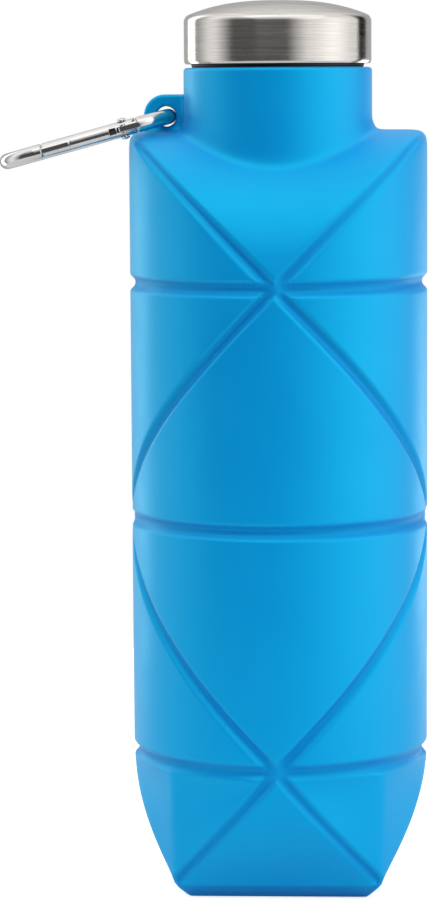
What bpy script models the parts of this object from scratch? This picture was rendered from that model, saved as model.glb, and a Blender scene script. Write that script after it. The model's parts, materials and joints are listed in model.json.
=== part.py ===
"""Collapsible silicone water bottle with a steel screw cap and a small snap hook.

The bottle stands on the XY plane, centred on Z, with its hook lug towards -X. The body is
a round silicone tube crossed by fold grooves. Every fold ring is close to a quarter of the
tube's circumference from the next, so that the diagonal folds run at about 45 degrees on the
unrolled wall, from the front and back of one ring to the two sides of the next.
"""

import math

import bmesh
import bpy
from mathutils import Matrix, Vector

MM = 0.001
QUARTER_TURN = math.pi / 2

# Silicone body
BODY_RADIUS = 38.5 * MM
BODY_WALL = 2.2 * MM
FLOOR_THICKNESS = 3.0 * MM
FOOT_HEIGHT = 35.3 * MM
FOOT_HALF_SIDE = 25.7 * MM
FOOT_CHAMFER_HEIGHT = 3.2 * MM
FOOT_CHAMFER_INSET = 2.7 * MM
FOOT_LEAN_POWER = 1.88
FOLD_STRETCH = 1.007
SHOULDER_RISE = 38.9 * MM
NECK_RADIUS = 24.3 * MM
NECK_HEIGHT = 16.0 * MM
NECK_LIP_RADIUS = 0.8 * MM
THROAT_RADIUS = 20.0 * MM
GROOVE_RADIUS = 1.3 * MM
RING_GROOVE_DEPTH = 1.2 * MM
CREASE_GROOVE_DEPTH = 1.05 * MM
CREASE_END_SHARE = 0.03
WELD_DISTANCE = 0.02 * MM

# Lug that the hook hangs in
LUG_REACH = 10.2 * MM
LUG_THICKNESS = 4.0 * MM
LUG_HEIGHT = 9.3 * MM
LUG_CORNER_RADIUS = 5.2 * MM
LUG_HOLE_RADIUS = 2.6 * MM
LUG_HOLE_OFFSET = 3.9 * MM
LUG_HOLE_RISE = 3.65 * MM

# Threaded neck ring
RING_BORE_RADIUS = 19.3 * MM
RING_SLEEVE_RADIUS = 22.0 * MM
RING_SLEEVE_DEPTH = 14.0 * MM
RING_BEAD_HEIGHT = 1.6 * MM
RING_BEAD_DEPTH = 0.7 * MM
RING_BEAD_RISE = 2.4 * MM
RING_COLLAR_RADIUS = 22.9 * MM
RING_COLLAR_THICKNESS = 0.7 * MM
THREAD_RADIUS = 21.2 * MM
THREAD_HEIGHT = 7.9 * MM

# Screw cap
CAP_RADIUS = 24.1 * MM
CAP_SHEET = 0.5 * MM
CAP_EDGE_RADIUS = 1.2 * MM
CAP_DOME_RISE = 4.4 * MM
CAP_EDGE_TURN = 70
LINER_SKIRT_WALL = 1.7 * MM
LINER_TOP_THICKNESS = 1.1 * MM
SEAL_THICKNESS = 1.4 * MM
SEAL_WIDTH = 3.4 * MM

# Snap hook
HOOK_LENGTH = 43.5 * MM
HOOK_HALF_WIDTH = 9.5 * MM
HOOK_WIRE_RADIUS = 2.0 * MM
HINGE_PIN_RADIUS = 0.7 * MM
HINGE_PIN_SETBACK = 1.9 * MM
HINGE_TONGUE_THICKNESS = 1.5 * MM
HINGE_TONGUE_RADIUS = 1.7 * MM
HINGE_SLOT_DEPTH = 3.6 * MM
GATE_HEEL_LENGTH = 3.3 * MM
RIVET_HEAD_RADIUS = 1.25 * MM
RIVET_HEAD_FLAT_RADIUS = 0.75 * MM
RIVET_HEAD_HEIGHT = 0.6 * MM
NOSE_PAST_BEND = 0.5 * MM
NOSE_BLADE_LENGTH = 7.0 * MM
NOSE_BLADE_THICKNESS = 1.2 * MM
NOSE_BLADE_HEIGHT = 2.6 * MM
GATE_BORE_RADIUS = 1.15 * MM
GATE_BORE_DEPTH = 7.6 * MM
PLUNGER_LENGTH = 3.4 * MM
SPRING_WIRE_RADIUS = 0.2 * MM
SPRING_TURNS = 6

# Clearances
TOUCH_GAP = 0.3 * MM
RUNNING_GAP = 0.2 * MM
CUT_OVERSHOOT = 1.0 * MM

# Facets
ROUND_STEPS = 48
FOOT_STEPS = 7
FLAT_STEPS = 2
PILLOW_STEPS = 40
CREASE_STEPS = 12
ARC_STEPS = 4
DOME_STEPS = 4
WIRE_BEND_STEPS = 14
HOLE_STEPS = 24
PIN_HOLE_STEPS = 12
RIVET_STEPS = 24
HINGE_END_STEPS = 8
EDGE_STEPS = 3
COIL_STEPS = 8
GROOVE_BEVEL_RESOLUTION = 1
WIRE_BEVEL_RESOLUTION = 3
SPRING_BEVEL_RESOLUTION = 1
FACET_SHIFT = 0.37
SMOOTH_ANGLE = math.radians(32)

# Levels that follow from the sizes above
FOLD_PITCH = FOLD_STRETCH * BODY_RADIUS * QUARTER_TURN
LOW_RING_Z = FOOT_HEIGHT
MIDDLE_RING_Z = LOW_RING_Z + FOLD_PITCH
HIGH_RING_Z = MIDDLE_RING_Z + FOLD_PITCH
RIDGE_Z = HIGH_RING_Z + SHOULDER_RISE
NECK_TOP_Z = RIDGE_Z + NECK_HEIGHT
COLLAR_BOTTOM_Z = NECK_TOP_Z + TOUCH_GAP
COLLAR_TOP_Z = COLLAR_BOTTOM_Z + RING_COLLAR_THICKNESS
CAP_RIM_Z = COLLAR_TOP_Z + TOUCH_GAP
THREAD_TOP_Z = COLLAR_TOP_Z + THREAD_HEIGHT
SEAL_BOTTOM_Z = THREAD_TOP_Z + TOUCH_GAP
LINER_CEILING_Z = SEAL_BOTTOM_Z + SEAL_THICKNESS + TOUCH_GAP
LINER_TOP_Z = LINER_CEILING_Z + LINER_TOP_THICKNESS
CAP_BAND_TOP_Z = LINER_TOP_Z + TOUCH_GAP + CAP_SHEET
CREASE_LIFT = GROOVE_RADIUS - CREASE_GROOVE_DEPTH


def clear_scene():
    for old in list(bpy.data.objects):
        bpy.data.objects.remove(old, do_unlink=True)


def make_material(name, colour, roughness, metallic=0.0):
    material = bpy.data.materials.new(name)
    material.use_nodes = True
    shader = material.node_tree.nodes["Principled BSDF"]
    shader.inputs["Base Color"].default_value = (*colour, 1.0)
    shader.inputs["Roughness"].default_value = roughness
    shader.inputs["Metallic"].default_value = metallic
    return material


def link_mesh(name, mesh, material=None):
    thing = bpy.data.objects.new(name, mesh)
    bpy.context.collection.objects.link(thing)
    if material:
        mesh.materials.append(material)
    mesh.shade_smooth()
    mesh.set_sharp_from_angle(angle=SMOOTH_ANGLE)
    return thing


def finish_bmesh(name, shape, material=None):
    bmesh.ops.remove_doubles(shape, verts=shape.verts, dist=MM / 1000)
    bmesh.ops.recalc_face_normals(shape, faces=shape.faces)
    if shape.calc_volume(signed=True) < 0:
        bmesh.ops.reverse_faces(shape, faces=shape.faces)
    mesh = bpy.data.meshes.new(name)
    shape.to_mesh(mesh)
    shape.free()
    return link_mesh(name, mesh, material)


def as_cutter(thing):
    thing.hide_render = True
    thing.display_type = "WIRE"
    return thing


def boolean(thing, other, operation, solver="EXACT"):
    modifier = thing.modifiers.new(operation.lower(), "BOOLEAN")
    modifier.operation = operation
    modifier.solver = solver
    modifier.object = as_cutter(other)


def cut(thing, *cutters):
    for cutter in cutters:
        boolean(thing, cutter, "DIFFERENCE")


def groove(thing, *cutters):
    """Cut crossing grooves, whose shared points the exact solver can't separate."""
    for cutter in cutters:
        boolean(thing, cutter, "DIFFERENCE", "MANIFOLD")


def weld(thing):
    """Close the hair cracks that a chain of cuts can leave where grooves cross."""
    modifier = thing.modifiers.new("weld", "WELD")
    modifier.merge_threshold = WELD_DISTANCE


def turned(name, profile, material=None, start=0.0, steps=ROUND_STEPS):
    """Revolve an outline of (radius, height) points about Z; a closed outline repeats none."""
    shape = bmesh.new()
    east, north = math.cos(start), math.sin(start)
    points = [shape.verts.new((radius * east, radius * north, height)) for radius, height in profile]
    touches_axis = profile[0][0] == 0 and profile[-1][0] == 0
    edges = [shape.edges.new(pair) for pair in zip(points, points[1:])]
    if not touches_axis:
        edges.append(shape.edges.new((points[-1], points[0])))
    bmesh.ops.spin(shape, geom=points + edges, axis=(0, 0, 1), cent=(0, 0, 0),
                   angle=2 * math.pi, steps=steps, use_merge=True)
    return finish_bmesh(name, shape, material)


def lofted(name, rings, material=None):
    """Skin a stack of equally long point rings and close both ends."""
    shape = bmesh.new()
    loops = [[shape.verts.new(point) for point in ring] for ring in rings]
    for lower, upper in zip(loops, loops[1:]):
        for index in range(len(lower)):
            after = (index + 1) % len(lower)
            shape.faces.new((lower[index], lower[after], upper[after], upper[index]))
    shape.faces.new(list(reversed(loops[0])))
    shape.faces.new(loops[-1])
    return finish_bmesh(name, shape, material)


def prism(name, outline, direction, material=None):
    """Extrude a flat outline of points along a vector."""
    moved = [Vector(point) + Vector(direction) for point in outline]
    return lofted(name, [outline, moved], material)


def tube(name, points, radius, resolution, closed=False, material=None):
    """A round wire along points, made a mesh so that it can be cut and joined."""
    curve = bpy.data.curves.new(name + "_path", "CURVE")
    curve.dimensions = "3D"
    curve.bevel_depth = radius
    curve.bevel_resolution = resolution
    curve.use_fill_caps = True
    spline = curve.splines.new("POLY")
    spline.points.add(len(points) - 1)
    for slot, point in zip(spline.points, points):
        slot.co = (*point, 1)
    spline.use_cyclic_u = closed
    guide = bpy.data.objects.new(name + "_guide", curve)
    bpy.context.collection.objects.link(guide)
    shape = bmesh.new()
    shape.from_mesh(guide.evaluated_get(bpy.context.evaluated_depsgraph_get()).to_mesh())
    bpy.data.objects.remove(guide, do_unlink=True)
    return finish_bmesh(name, shape, material)


def arc(centre_x, centre_z, radius, start, end, steps=ARC_STEPS):
    """Points of a flat arc, from the start angle to the end angle in degrees."""
    points = []
    for step in range(steps + 1):
        angle = math.radians(start + (end - start) * step / steps)
        points.append((centre_x + radius * math.cos(angle), centre_z + radius * math.sin(angle)))
    return points


def circle(centre_x, centre_z, radius, steps):
    """Evenly spaced points of a full circle, none repeated."""
    return arc(centre_x, centre_z, radius, 0, 360, steps)[:-1]


def tube_wall(name, radius, wall, bottom, top, material=None):
    outline = [(radius - wall, bottom), (radius, bottom), (radius, top), (radius - wall, top)]
    return turned(name, outline, material, math.pi / ROUND_STEPS)


# Fold grooves

def ring_groove(name, height):
    radius = BODY_RADIUS + GROOVE_RADIUS - RING_GROOVE_DEPTH
    points = []
    for step in range(ROUND_STEPS):
        angle = 2 * math.pi * (step + FACET_SHIFT) / ROUND_STEPS
        points.append((radius * math.cos(angle), radius * math.sin(angle), height))
    return tube(name, points, GROOVE_RADIUS, GROOVE_BEVEL_RESOLUTION, closed=True)


def crease_shares():
    """Shares of the way along one diagonal, with one extra point close to each end."""
    return [0, CREASE_END_SHARE, *(step / CREASE_STEPS for step in range(1, CREASE_STEPS)),
            1 - CREASE_END_SHARE]


def zigzag_groove(name, crease_point):
    """One closed groove that falls and climbs four times on its way round the wall.

    crease_point gives the place at a turn angle, and at a share of the way up.
    """
    points = []
    for quarter in range(4):
        climbs = quarter % 2 == 0
        for share in crease_shares():
            height_share = share if climbs else 1 - share
            points.append(crease_point((quarter + share) * QUARTER_TURN, height_share))
    return tube(name, points, GROOVE_RADIUS, GROOVE_BEVEL_RESOLUTION, closed=True)


def wall_groove(name, bottom, from_front):
    """The four diagonals of one fold section; low corners at front and back, or at the sides."""
    start = -QUARTER_TURN if from_front else 0.0
    radius = BODY_RADIUS + CREASE_LIFT

    def crease_point(angle, share):
        return (radius * math.cos(start + angle), radius * math.sin(start + angle),
                bottom + share * FOLD_PITCH)

    return zigzag_groove(name, crease_point)


def shoulder_groove():
    """The four edges where the roof meets the round wall, which are straight seen from the front."""
    rise = SHOULDER_RISE + CREASE_LIFT
    radius = BODY_RADIUS + CREASE_LIFT

    def crease_point(angle, share):
        return (radius * math.sin(angle), -radius * math.cos(angle), HIGH_RING_Z + rise * abs(math.sin(angle)))

    return zigzag_groove("shoulder_groove", crease_point)


def foot_groove_point(side, front, share):
    depth = foot_flat_distance(max(share, 0), BODY_RADIUS, FOOT_HALF_SIDE) + CREASE_LIFT
    return (side * FOOT_HALF_SIDE * share, -front * depth, foot_height_at(share))


def foot_grooves():
    """Grooves from the front and back of the lowest ring down to the four base corners.

    Each starts a little above the ring, and the two of a pair start at unlike heights.
    """
    grooves = []
    for front in (1, -1):
        for side, lead in ((1, 2 * CREASE_END_SHARE), (-1, 3 * CREASE_END_SHARE)):
            points = []
            for step in range(CREASE_STEPS + 1):
                share = -lead + (1 + lead) * step / CREASE_STEPS
                points.append(foot_groove_point(side, front, share))
            points.append((points[-1][0], points[-1][1], -CUT_OVERSHOOT))
            grooves.append(tube(f"foot_groove_{front + 1}_{side + 1}", points,
                                GROOVE_RADIUS, GROOVE_BEVEL_RESOLUTION))
    return grooves


# Silicone body

def foot_height_at(share):
    """Height at a share of the way from the lowest ring, 0, to the top of the chamfer, 1."""
    return LOW_RING_Z - share * (LOW_RING_Z - FOOT_CHAMFER_HEIGHT)


def foot_flat_distance(share, radius, half_side):
    """How far a flat side stands from the middle: it leans in ever faster towards the base."""
    return radius - (radius - half_side) * share ** FOOT_LEAN_POWER


def foot_ring(height, share, radius, half_side):
    """A square with round corners: its flats start as points at the ring and fill the base."""
    flat = foot_flat_distance(share, radius, half_side)
    half_width = half_side * share
    corner = math.hypot(flat, half_width)
    end = math.degrees(math.atan2(half_width, flat))
    side = [(flat, half_width * (2 * step / FLAT_STEPS - 1)) for step in range(FLAT_STEPS)]
    side += arc(0, 0, corner, end, 90 - end, ROUND_STEPS // 4)[:-1]
    ring = []
    for quarter in range(4):
        turn = Matrix.Rotation(quarter * QUARTER_TURN, 2)
        ring += [(*(turn @ Vector(point)), height) for point in side]
    return ring


def foot_shape(name, radius, half_side, bottom, chamfer, top, material=None):
    rings = [foot_ring(bottom, 1, radius - chamfer, half_side - chamfer)]
    for step in range(FOOT_STEPS, 0, -1):
        share = step / FOOT_STEPS
        height = foot_height_at(share)
        if height > bottom:
            rings.append(foot_ring(height, share, radius, half_side))
    rings.append(foot_ring(top, 0, radius, half_side))
    return lofted(name, rings, material)


def add_base_section(material):
    section = foot_shape("base_section", BODY_RADIUS, FOOT_HALF_SIDE, 0, FOOT_CHAMFER_INSET,
                         LOW_RING_Z - TOUCH_GAP / 2, material)
    cavity = foot_shape("base_cavity", BODY_RADIUS - BODY_WALL, FOOT_HALF_SIDE - BODY_WALL,
                        FLOOR_THICKNESS, 0, LOW_RING_Z + CUT_OVERSHOOT)
    cut(section, cavity)
    groove(section, ring_groove("low_ring_groove", LOW_RING_Z), *foot_grooves())
    weld(section)


def add_fold_section(name, bottom, from_front, material):
    section = tube_wall(name, BODY_RADIUS, BODY_WALL, bottom + TOUCH_GAP / 2,
                        bottom + FOLD_PITCH - TOUCH_GAP / 2, material)
    lower = ring_groove(name + "_lower_ring", bottom)
    upper = ring_groove(name + "_upper_ring", bottom + FOLD_PITCH)
    groove(section, wall_groove(name + "_groove", bottom, from_front), lower, upper)
    weld(section)


def pillow(name, radius, rise, bottom, material=None):
    """A round tube closed by a roof that is an upright arch seen from the side.

    The roof is a level elliptical bar along X. It meets the tube in straight diagonals.
    """
    top = RIDGE_Z + CUT_OVERSHOOT
    body = turned(name, [(0, bottom), (radius, bottom), (radius, top), (0, top)], material,
                  math.pi / ROUND_STEPS)
    outline = []
    for step in range(PILLOW_STEPS):
        angle = 2 * math.pi * (step + FACET_SHIFT) / PILLOW_STEPS
        outline.append((-radius - CUT_OVERSHOOT, radius * math.cos(angle),
                        HIGH_RING_Z + rise * math.sin(angle)))
    roof = prism(name + "_roof", outline, (2 * (radius + CUT_OVERSHOOT), 0, 0))
    boolean(body, roof, "INTERSECT")
    return body


def lug_outline():
    """A tab beside the neck, flat at the bottom, with one large round outer corner."""
    inner = -NECK_RADIUS + BODY_WALL / 2
    outer = -NECK_RADIUS - LUG_REACH
    bottom = RIDGE_Z - BODY_WALL / 2
    top = RIDGE_Z + LUG_HEIGHT
    corner = arc(outer + LUG_CORNER_RADIUS, top - LUG_CORNER_RADIUS, LUG_CORNER_RADIUS, 180, 90)
    flat = [(inner, bottom), (outer, bottom), *corner, (inner, top)]
    return [(across, -LUG_THICKNESS / 2, height) for across, height in flat]


def lug_hole_centre():
    return Vector((-NECK_RADIUS - LUG_HOLE_OFFSET, 0, RIDGE_Z + LUG_HOLE_RISE))


def lug_hole_cutter():
    centre = lug_hole_centre()
    outline = [(centre.x + across, -LUG_THICKNESS, centre.z + up)
               for across, up in circle(0, 0, LUG_HOLE_RADIUS, HOLE_STEPS)]
    return prism("lug_hole", outline, (0, 2 * LUG_THICKNESS, 0))


def neck_root_z():
    """A level inside the shoulder where the neck and its bore may start."""
    return HIGH_RING_Z + SHOULDER_RISE / 2


def neck_shape():
    lip = arc(NECK_RADIUS - NECK_LIP_RADIUS, NECK_TOP_Z - NECK_LIP_RADIUS, NECK_LIP_RADIUS, 0, 90, EDGE_STEPS)
    root = neck_root_z() + CUT_OVERSHOOT
    return turned("neck", [(0, root), (NECK_RADIUS, root), *lip, (0, NECK_TOP_Z)])


def neck_bore():
    """Throat, then the pocket that holds the threaded ring, with the recess for its bead."""
    pocket = RING_SLEEVE_RADIUS + TOUCH_GAP
    recess = pocket + RING_BEAD_DEPTH
    floor = COLLAR_BOTTOM_Z - RING_SLEEVE_DEPTH - TOUCH_GAP
    low = floor + RING_BEAD_RISE
    high = low + RING_BEAD_HEIGHT + 2 * TOUCH_GAP
    top = NECK_TOP_Z + CUT_OVERSHOOT
    return turned("neck_bore", [(0, neck_root_z()), (THROAT_RADIUS, neck_root_z()), (THROAT_RADIUS, floor),
                                (pocket, floor), (pocket, low), (recess, low), (recess, high),
                                (pocket, high), (pocket, top), (0, top)])


def add_shoulder_and_neck(material):
    """Roofed tube, neck and lug joined, then hollowed from inside and grooved from outside."""
    section = pillow("shoulder_and_neck", BODY_RADIUS, SHOULDER_RISE, HIGH_RING_Z + TOUCH_GAP / 2, material)
    boolean(section, neck_shape(), "UNION")
    boolean(section, prism("lug", lug_outline(), (0, LUG_THICKNESS, 0)), "UNION")
    cavity = pillow("shoulder_cavity", BODY_RADIUS - BODY_WALL, SHOULDER_RISE - BODY_WALL,
                    HIGH_RING_Z - CUT_OVERSHOOT)
    cut(section, cavity, neck_bore(), lug_hole_cutter())
    groove(section, ring_groove("high_ring_groove", HIGH_RING_Z), shoulder_groove())
    weld(section)


# Threaded ring and cap

def add_neck_thread_ring(material):
    bottom = COLLAR_BOTTOM_Z - RING_SLEEVE_DEPTH
    bead_low = bottom + RING_BEAD_RISE
    bead_high = bead_low + RING_BEAD_HEIGHT
    bead = RING_SLEEVE_RADIUS + RING_BEAD_DEPTH
    outline = [(RING_BORE_RADIUS, bottom), (RING_SLEEVE_RADIUS, bottom), (RING_SLEEVE_RADIUS, bead_low),
               (bead, bead_low), (bead, bead_high), (RING_SLEEVE_RADIUS, bead_high),
               (RING_SLEEVE_RADIUS, COLLAR_BOTTOM_Z), (RING_COLLAR_RADIUS, COLLAR_BOTTOM_Z),
               (RING_COLLAR_RADIUS, COLLAR_TOP_Z), (THREAD_RADIUS, COLLAR_TOP_Z),
               (THREAD_RADIUS, THREAD_TOP_Z), (RING_BORE_RADIUS, THREAD_TOP_Z)]
    return turned("neck_thread_ring", outline, material)


def dome(radius, edge_z, rise):
    """A shallow ball cap from its edge to the middle: sphere radius from chord and rise."""
    ball = (radius ** 2 + rise ** 2) / (2 * rise)
    points = []
    for step in range(DOME_STEPS + 1):
        out = radius * (1 - step / DOME_STEPS)
        points.append((out, edge_z + rise - ball + math.sqrt(ball ** 2 - out ** 2)))
    return points


def cap_skin(offset):
    """Half outline of the cap, from the rim up the band, round its edge and over the dome."""
    corner = arc(CAP_RADIUS - CAP_EDGE_RADIUS, CAP_BAND_TOP_Z - CAP_EDGE_RADIUS,
                 CAP_EDGE_RADIUS - offset, 0, CAP_EDGE_TURN)
    roof = dome(corner[-1][0], corner[-1][1], CAP_DOME_RISE)
    return [(CAP_RADIUS - offset, CAP_RIM_Z), *corner[:-1], *roof]


def add_cap_shell(material):
    outer = list(reversed(cap_skin(0)))
    return turned("cap_shell", outer + cap_skin(CAP_SHEET), material)


def liner_outer_radius():
    return CAP_RADIUS - CAP_SHEET - TOUCH_GAP


def add_cap_liner(material):
    outer = liner_outer_radius()
    inner = outer - LINER_SKIRT_WALL
    rim = CAP_RIM_Z + TOUCH_GAP
    edge = CAP_EDGE_RADIUS - CAP_SHEET - TOUCH_GAP
    corner = arc(outer - edge, LINER_TOP_Z - edge, edge, 0, 90, EDGE_STEPS)
    outline = [(inner, rim), (outer, rim), *corner, (0, LINER_TOP_Z), (0, LINER_CEILING_Z),
               (inner, LINER_CEILING_Z)]
    start = outline.index((0, LINER_CEILING_Z))
    return turned("cap_liner", outline[start:] + outline[:start], material)


def add_cap_seal(material):
    outer = liner_outer_radius() - LINER_SKIRT_WALL - TOUCH_GAP
    top = SEAL_BOTTOM_Z + SEAL_THICKNESS
    return tube_wall("cap_seal", outer, SEAL_WIDTH, SEAL_BOTTOM_Z, top, material)


# Snap hook, drawn flat: x along its length from the lug hole, y across, z through the wire

def roof_end(side):
    """How far out, and how far up, the roof ends at a distance to the side of its ridge."""
    out = math.sqrt(BODY_RADIUS ** 2 - side ** 2)
    return out, HIGH_RING_Z + SHOULDER_RISE * out / BODY_RADIUS


def droop_over(side, reach, lift):
    """The droop at which what lies lift below the wire's middle clears the roof.

    The roof is met at its end, or at the reach along the hook where that is nearer.
    """
    hole = lug_hole_centre()
    out, height = roof_end(side)
    along = min(out + hole.x, reach)
    below = hole.z - height
    return math.atan2(below, along) - math.asin(lift / math.hypot(along, below))


def hook_rest_angle():
    """The droop at which both bars rest on the roof's end, or the rivet's lower head does."""
    bar_lift = HOOK_WIRE_RADIUS + TOUCH_GAP
    head_lift = bar_lift + RUNNING_GAP + RIVET_HEAD_HEIGHT
    droop = droop_over(HOOK_HALF_WIDTH, HOOK_LENGTH, bar_lift)
    roof_under_bar = roof_end(HOOK_HALF_WIDTH)[0] + lug_hole_centre().x
    if roof_under_bar < (hinge_x() - RIVET_HEAD_RADIUS) * math.cos(droop):
        return droop
    side = HOOK_HALF_WIDTH - RIVET_HEAD_RADIUS
    return min(droop, droop_over(side, hinge_x() + RIVET_HEAD_RADIUS, head_lift))


def hook_frame():
    """World matrix of the hook: its x runs out and down from the lug hole, its y is world Y."""
    droop = hook_rest_angle()
    along = Vector((-math.cos(droop), 0, -math.sin(droop)))
    across = Vector((0, 1, 0))
    through = along.cross(across)
    turn = Matrix((along, across, through)).transposed().to_4x4()
    return Matrix.Translation(lug_hole_centre()) @ turn


def hinge_x():
    return HOOK_HALF_WIDTH + HINGE_PIN_SETBACK


def nose_x():
    return HOOK_LENGTH - HOOK_HALF_WIDTH + NOSE_PAST_BEND


def wire_stop():
    """Where the near bar ends, clear of the gate's heel."""
    return hinge_x() - GATE_HEEL_LENGTH - TOUCH_GAP


def bend(centre_x, start, end):
    """Points of a half round of the wire; angles in degrees from the hook's far side."""
    return [(along, across, 0) for along, across in
            arc(centre_x, 0, HOOK_HALF_WIDTH, start, end, WIRE_BEND_STEPS)]


def plate(name, outline, thickness=2 * HOOK_LENGTH):
    """A flat shape as thick as asked, or thick enough to reach right through the wire."""
    flat = [(along, across, -thickness / 2) for along, across in outline]
    return prism(name, flat, (0, 0, thickness))


def pin_hole(name, radius):
    return plate(name, circle(hinge_x(), -HOOK_HALF_WIDTH, radius, PIN_HOLE_STEPS))


def slot_box(name, low_x, high_x, half_height, thickness):
    middle = -HOOK_HALF_WIDTH
    outline = [(low_x, middle - half_height), (high_x, middle - half_height),
               (high_x, middle + half_height), (low_x, middle + half_height)]
    return plate(name, outline, thickness)


def add_carabiner_frame(material):
    """The bent wire from the hinge tongue round the lug and the far bar to the nose blade."""
    near = -HOOK_HALF_WIDTH
    near_start = 270 - math.degrees(math.asin((HOOK_HALF_WIDTH - wire_stop()) / HOOK_HALF_WIDTH))
    nose_end = math.degrees(math.asin(NOSE_PAST_BEND / HOOK_HALF_WIDTH)) - 90
    path = [*bend(HOOK_HALF_WIDTH, near_start, 90), *bend(HOOK_LENGTH - HOOK_HALF_WIDTH, 90, nose_end)]
    frame = tube("carabiner_frame", path, HOOK_WIRE_RADIUS, WIRE_BEVEL_RESOLUTION, material=material)
    tongue_end = arc(hinge_x(), near, HINGE_TONGUE_RADIUS, -90, 90, HINGE_END_STEPS)
    root = wire_stop() - HOOK_WIRE_RADIUS / 2
    tongue = plate("hinge_tongue", [(root, near - HINGE_TONGUE_RADIUS), *tongue_end,
                                    (root, near + HINGE_TONGUE_RADIUS)], HINGE_TONGUE_THICKNESS)
    blade = slot_box("nose_blade", nose_x() - NOSE_BLADE_LENGTH, nose_x() + HOOK_WIRE_RADIUS / 2,
                     NOSE_BLADE_HEIGHT / 2, NOSE_BLADE_THICKNESS)
    boolean(frame, tongue, "UNION")
    boolean(frame, blade, "UNION")
    cut(frame, pin_hole("tongue_hole", HINGE_PIN_RADIUS + RUNNING_GAP))
    return frame


def gate_end_x():
    return nose_x() - TOUCH_GAP


def hinge_slot_end():
    return hinge_x() + HINGE_SLOT_DEPTH


def add_carabiner_gate(material):
    """A round bar, forked over the hinge tongue and slotted for the nose blade."""
    start = hinge_x() - GATE_HEEL_LENGTH
    heel = start + HOOK_WIRE_RADIUS
    near = -HOOK_HALF_WIDTH
    gate = tube("carabiner_gate", [(start - CUT_OVERSHOOT, near, 0), (gate_end_x(), near, 0)],
                HOOK_WIRE_RADIUS, WIRE_BEVEL_RESOLUTION, material=material)
    wide = 2 * HOOK_WIRE_RADIUS
    round_end = arc(heel, near, HOOK_WIRE_RADIUS, 270, 90, HINGE_END_STEPS)
    far = gate_end_x() + CUT_OVERSHOOT
    keep = plate("gate_outline", [(far, near - wide), (heel, near - wide), *round_end,
                                  (heel, near + wide), (far, near + wide)])
    boolean(gate, keep, "INTERSECT")
    bore = tube("gate_bore", [(hinge_x(), near, 0), (hinge_slot_end() + GATE_BORE_DEPTH, near, 0)],
                GATE_BORE_RADIUS, GROOVE_BEVEL_RESOLUTION)
    cut(gate,
        slot_box("hinge_slot", start - wide, hinge_slot_end(), wide, HINGE_TONGUE_THICKNESS + 2 * TOUCH_GAP),
        slot_box("nose_slot", nose_x() - NOSE_BLADE_LENGTH - 2 * TOUCH_GAP, far, wide,
                 NOSE_BLADE_THICKNESS + 2 * TOUCH_GAP),
        bore, pin_hole("gate_pin_hole", HINGE_PIN_RADIUS + RUNNING_GAP))
    return gate


def add_gate_rivet(material):
    """A plain pin with two low heads, standing across the wire."""
    seat = HOOK_WIRE_RADIUS + RUNNING_GAP
    top = seat + RIVET_HEAD_HEIGHT
    upper = [(HINGE_PIN_RADIUS, seat), (RIVET_HEAD_RADIUS, seat), (RIVET_HEAD_FLAT_RADIUS, top), (0, top)]
    lower = [(radius, -height) for radius, height in reversed(upper)]
    return turned("gate_rivet", lower + upper, material, steps=RIVET_STEPS)


def plunger_start():
    return hinge_x() + HINGE_TONGUE_RADIUS + TOUCH_GAP


def add_gate_plunger(material):
    near = -HOOK_HALF_WIDTH
    radius = GATE_BORE_RADIUS - RUNNING_GAP
    return tube("gate_plunger", [(plunger_start(), near, 0), (plunger_start() + PLUNGER_LENGTH, near, 0)],
                radius, GROOVE_BEVEL_RESOLUTION, material=material)


def add_gate_spring(material):
    """An unbroken coil between the plunger and the blind end of the gate's bore."""
    radius = GATE_BORE_RADIUS - RUNNING_GAP - SPRING_WIRE_RADIUS
    start = plunger_start() + PLUNGER_LENGTH + RUNNING_GAP + SPRING_WIRE_RADIUS
    end = hinge_slot_end() + GATE_BORE_DEPTH - RUNNING_GAP - SPRING_WIRE_RADIUS
    count = SPRING_TURNS * COIL_STEPS
    points = []
    for step in range(count + 1):
        angle = 2 * math.pi * step / COIL_STEPS
        points.append((start + (end - start) * step / count,
                       radius * math.cos(angle) - HOOK_HALF_WIDTH, radius * math.sin(angle)))
    spacing = (end - start) / SPRING_TURNS - 2 * SPRING_WIRE_RADIUS
    print(f"gate spring: least gap between turns {spacing / MM:.2f} mm")
    return tube("gate_spring", points, SPRING_WIRE_RADIUS, SPRING_BEVEL_RESOLUTION, material=material)


def place_hook(pieces, rivet):
    """Hang the flat-drawn hook from the lug hole; the gate's own origin is on its rivet."""
    pivot = bpy.data.objects.new("hook_pivot", None)
    bpy.context.collection.objects.link(pivot)
    pivot.matrix_world = hook_frame()
    hinge = bpy.data.objects.new("gate_pivot", None)
    bpy.context.collection.objects.link(hinge)
    hinge.parent = pivot
    hinge.location = (hinge_x(), -HOOK_HALF_WIDTH, 0)
    for piece in pieces:
        piece.parent = pivot
    rivet.parent = hinge


def add_hook(chrome, spring_steel):
    frame = add_carabiner_frame(chrome)
    gate = add_carabiner_gate(chrome)
    rivet = add_gate_rivet(chrome)
    plunger = add_gate_plunger(spring_steel)
    spring = add_gate_spring(spring_steel)
    cutters = [m.object for piece in (frame, gate) for m in piece.modifiers]
    place_hook([frame, gate, plunger, spring, *cutters], rivet)


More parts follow.
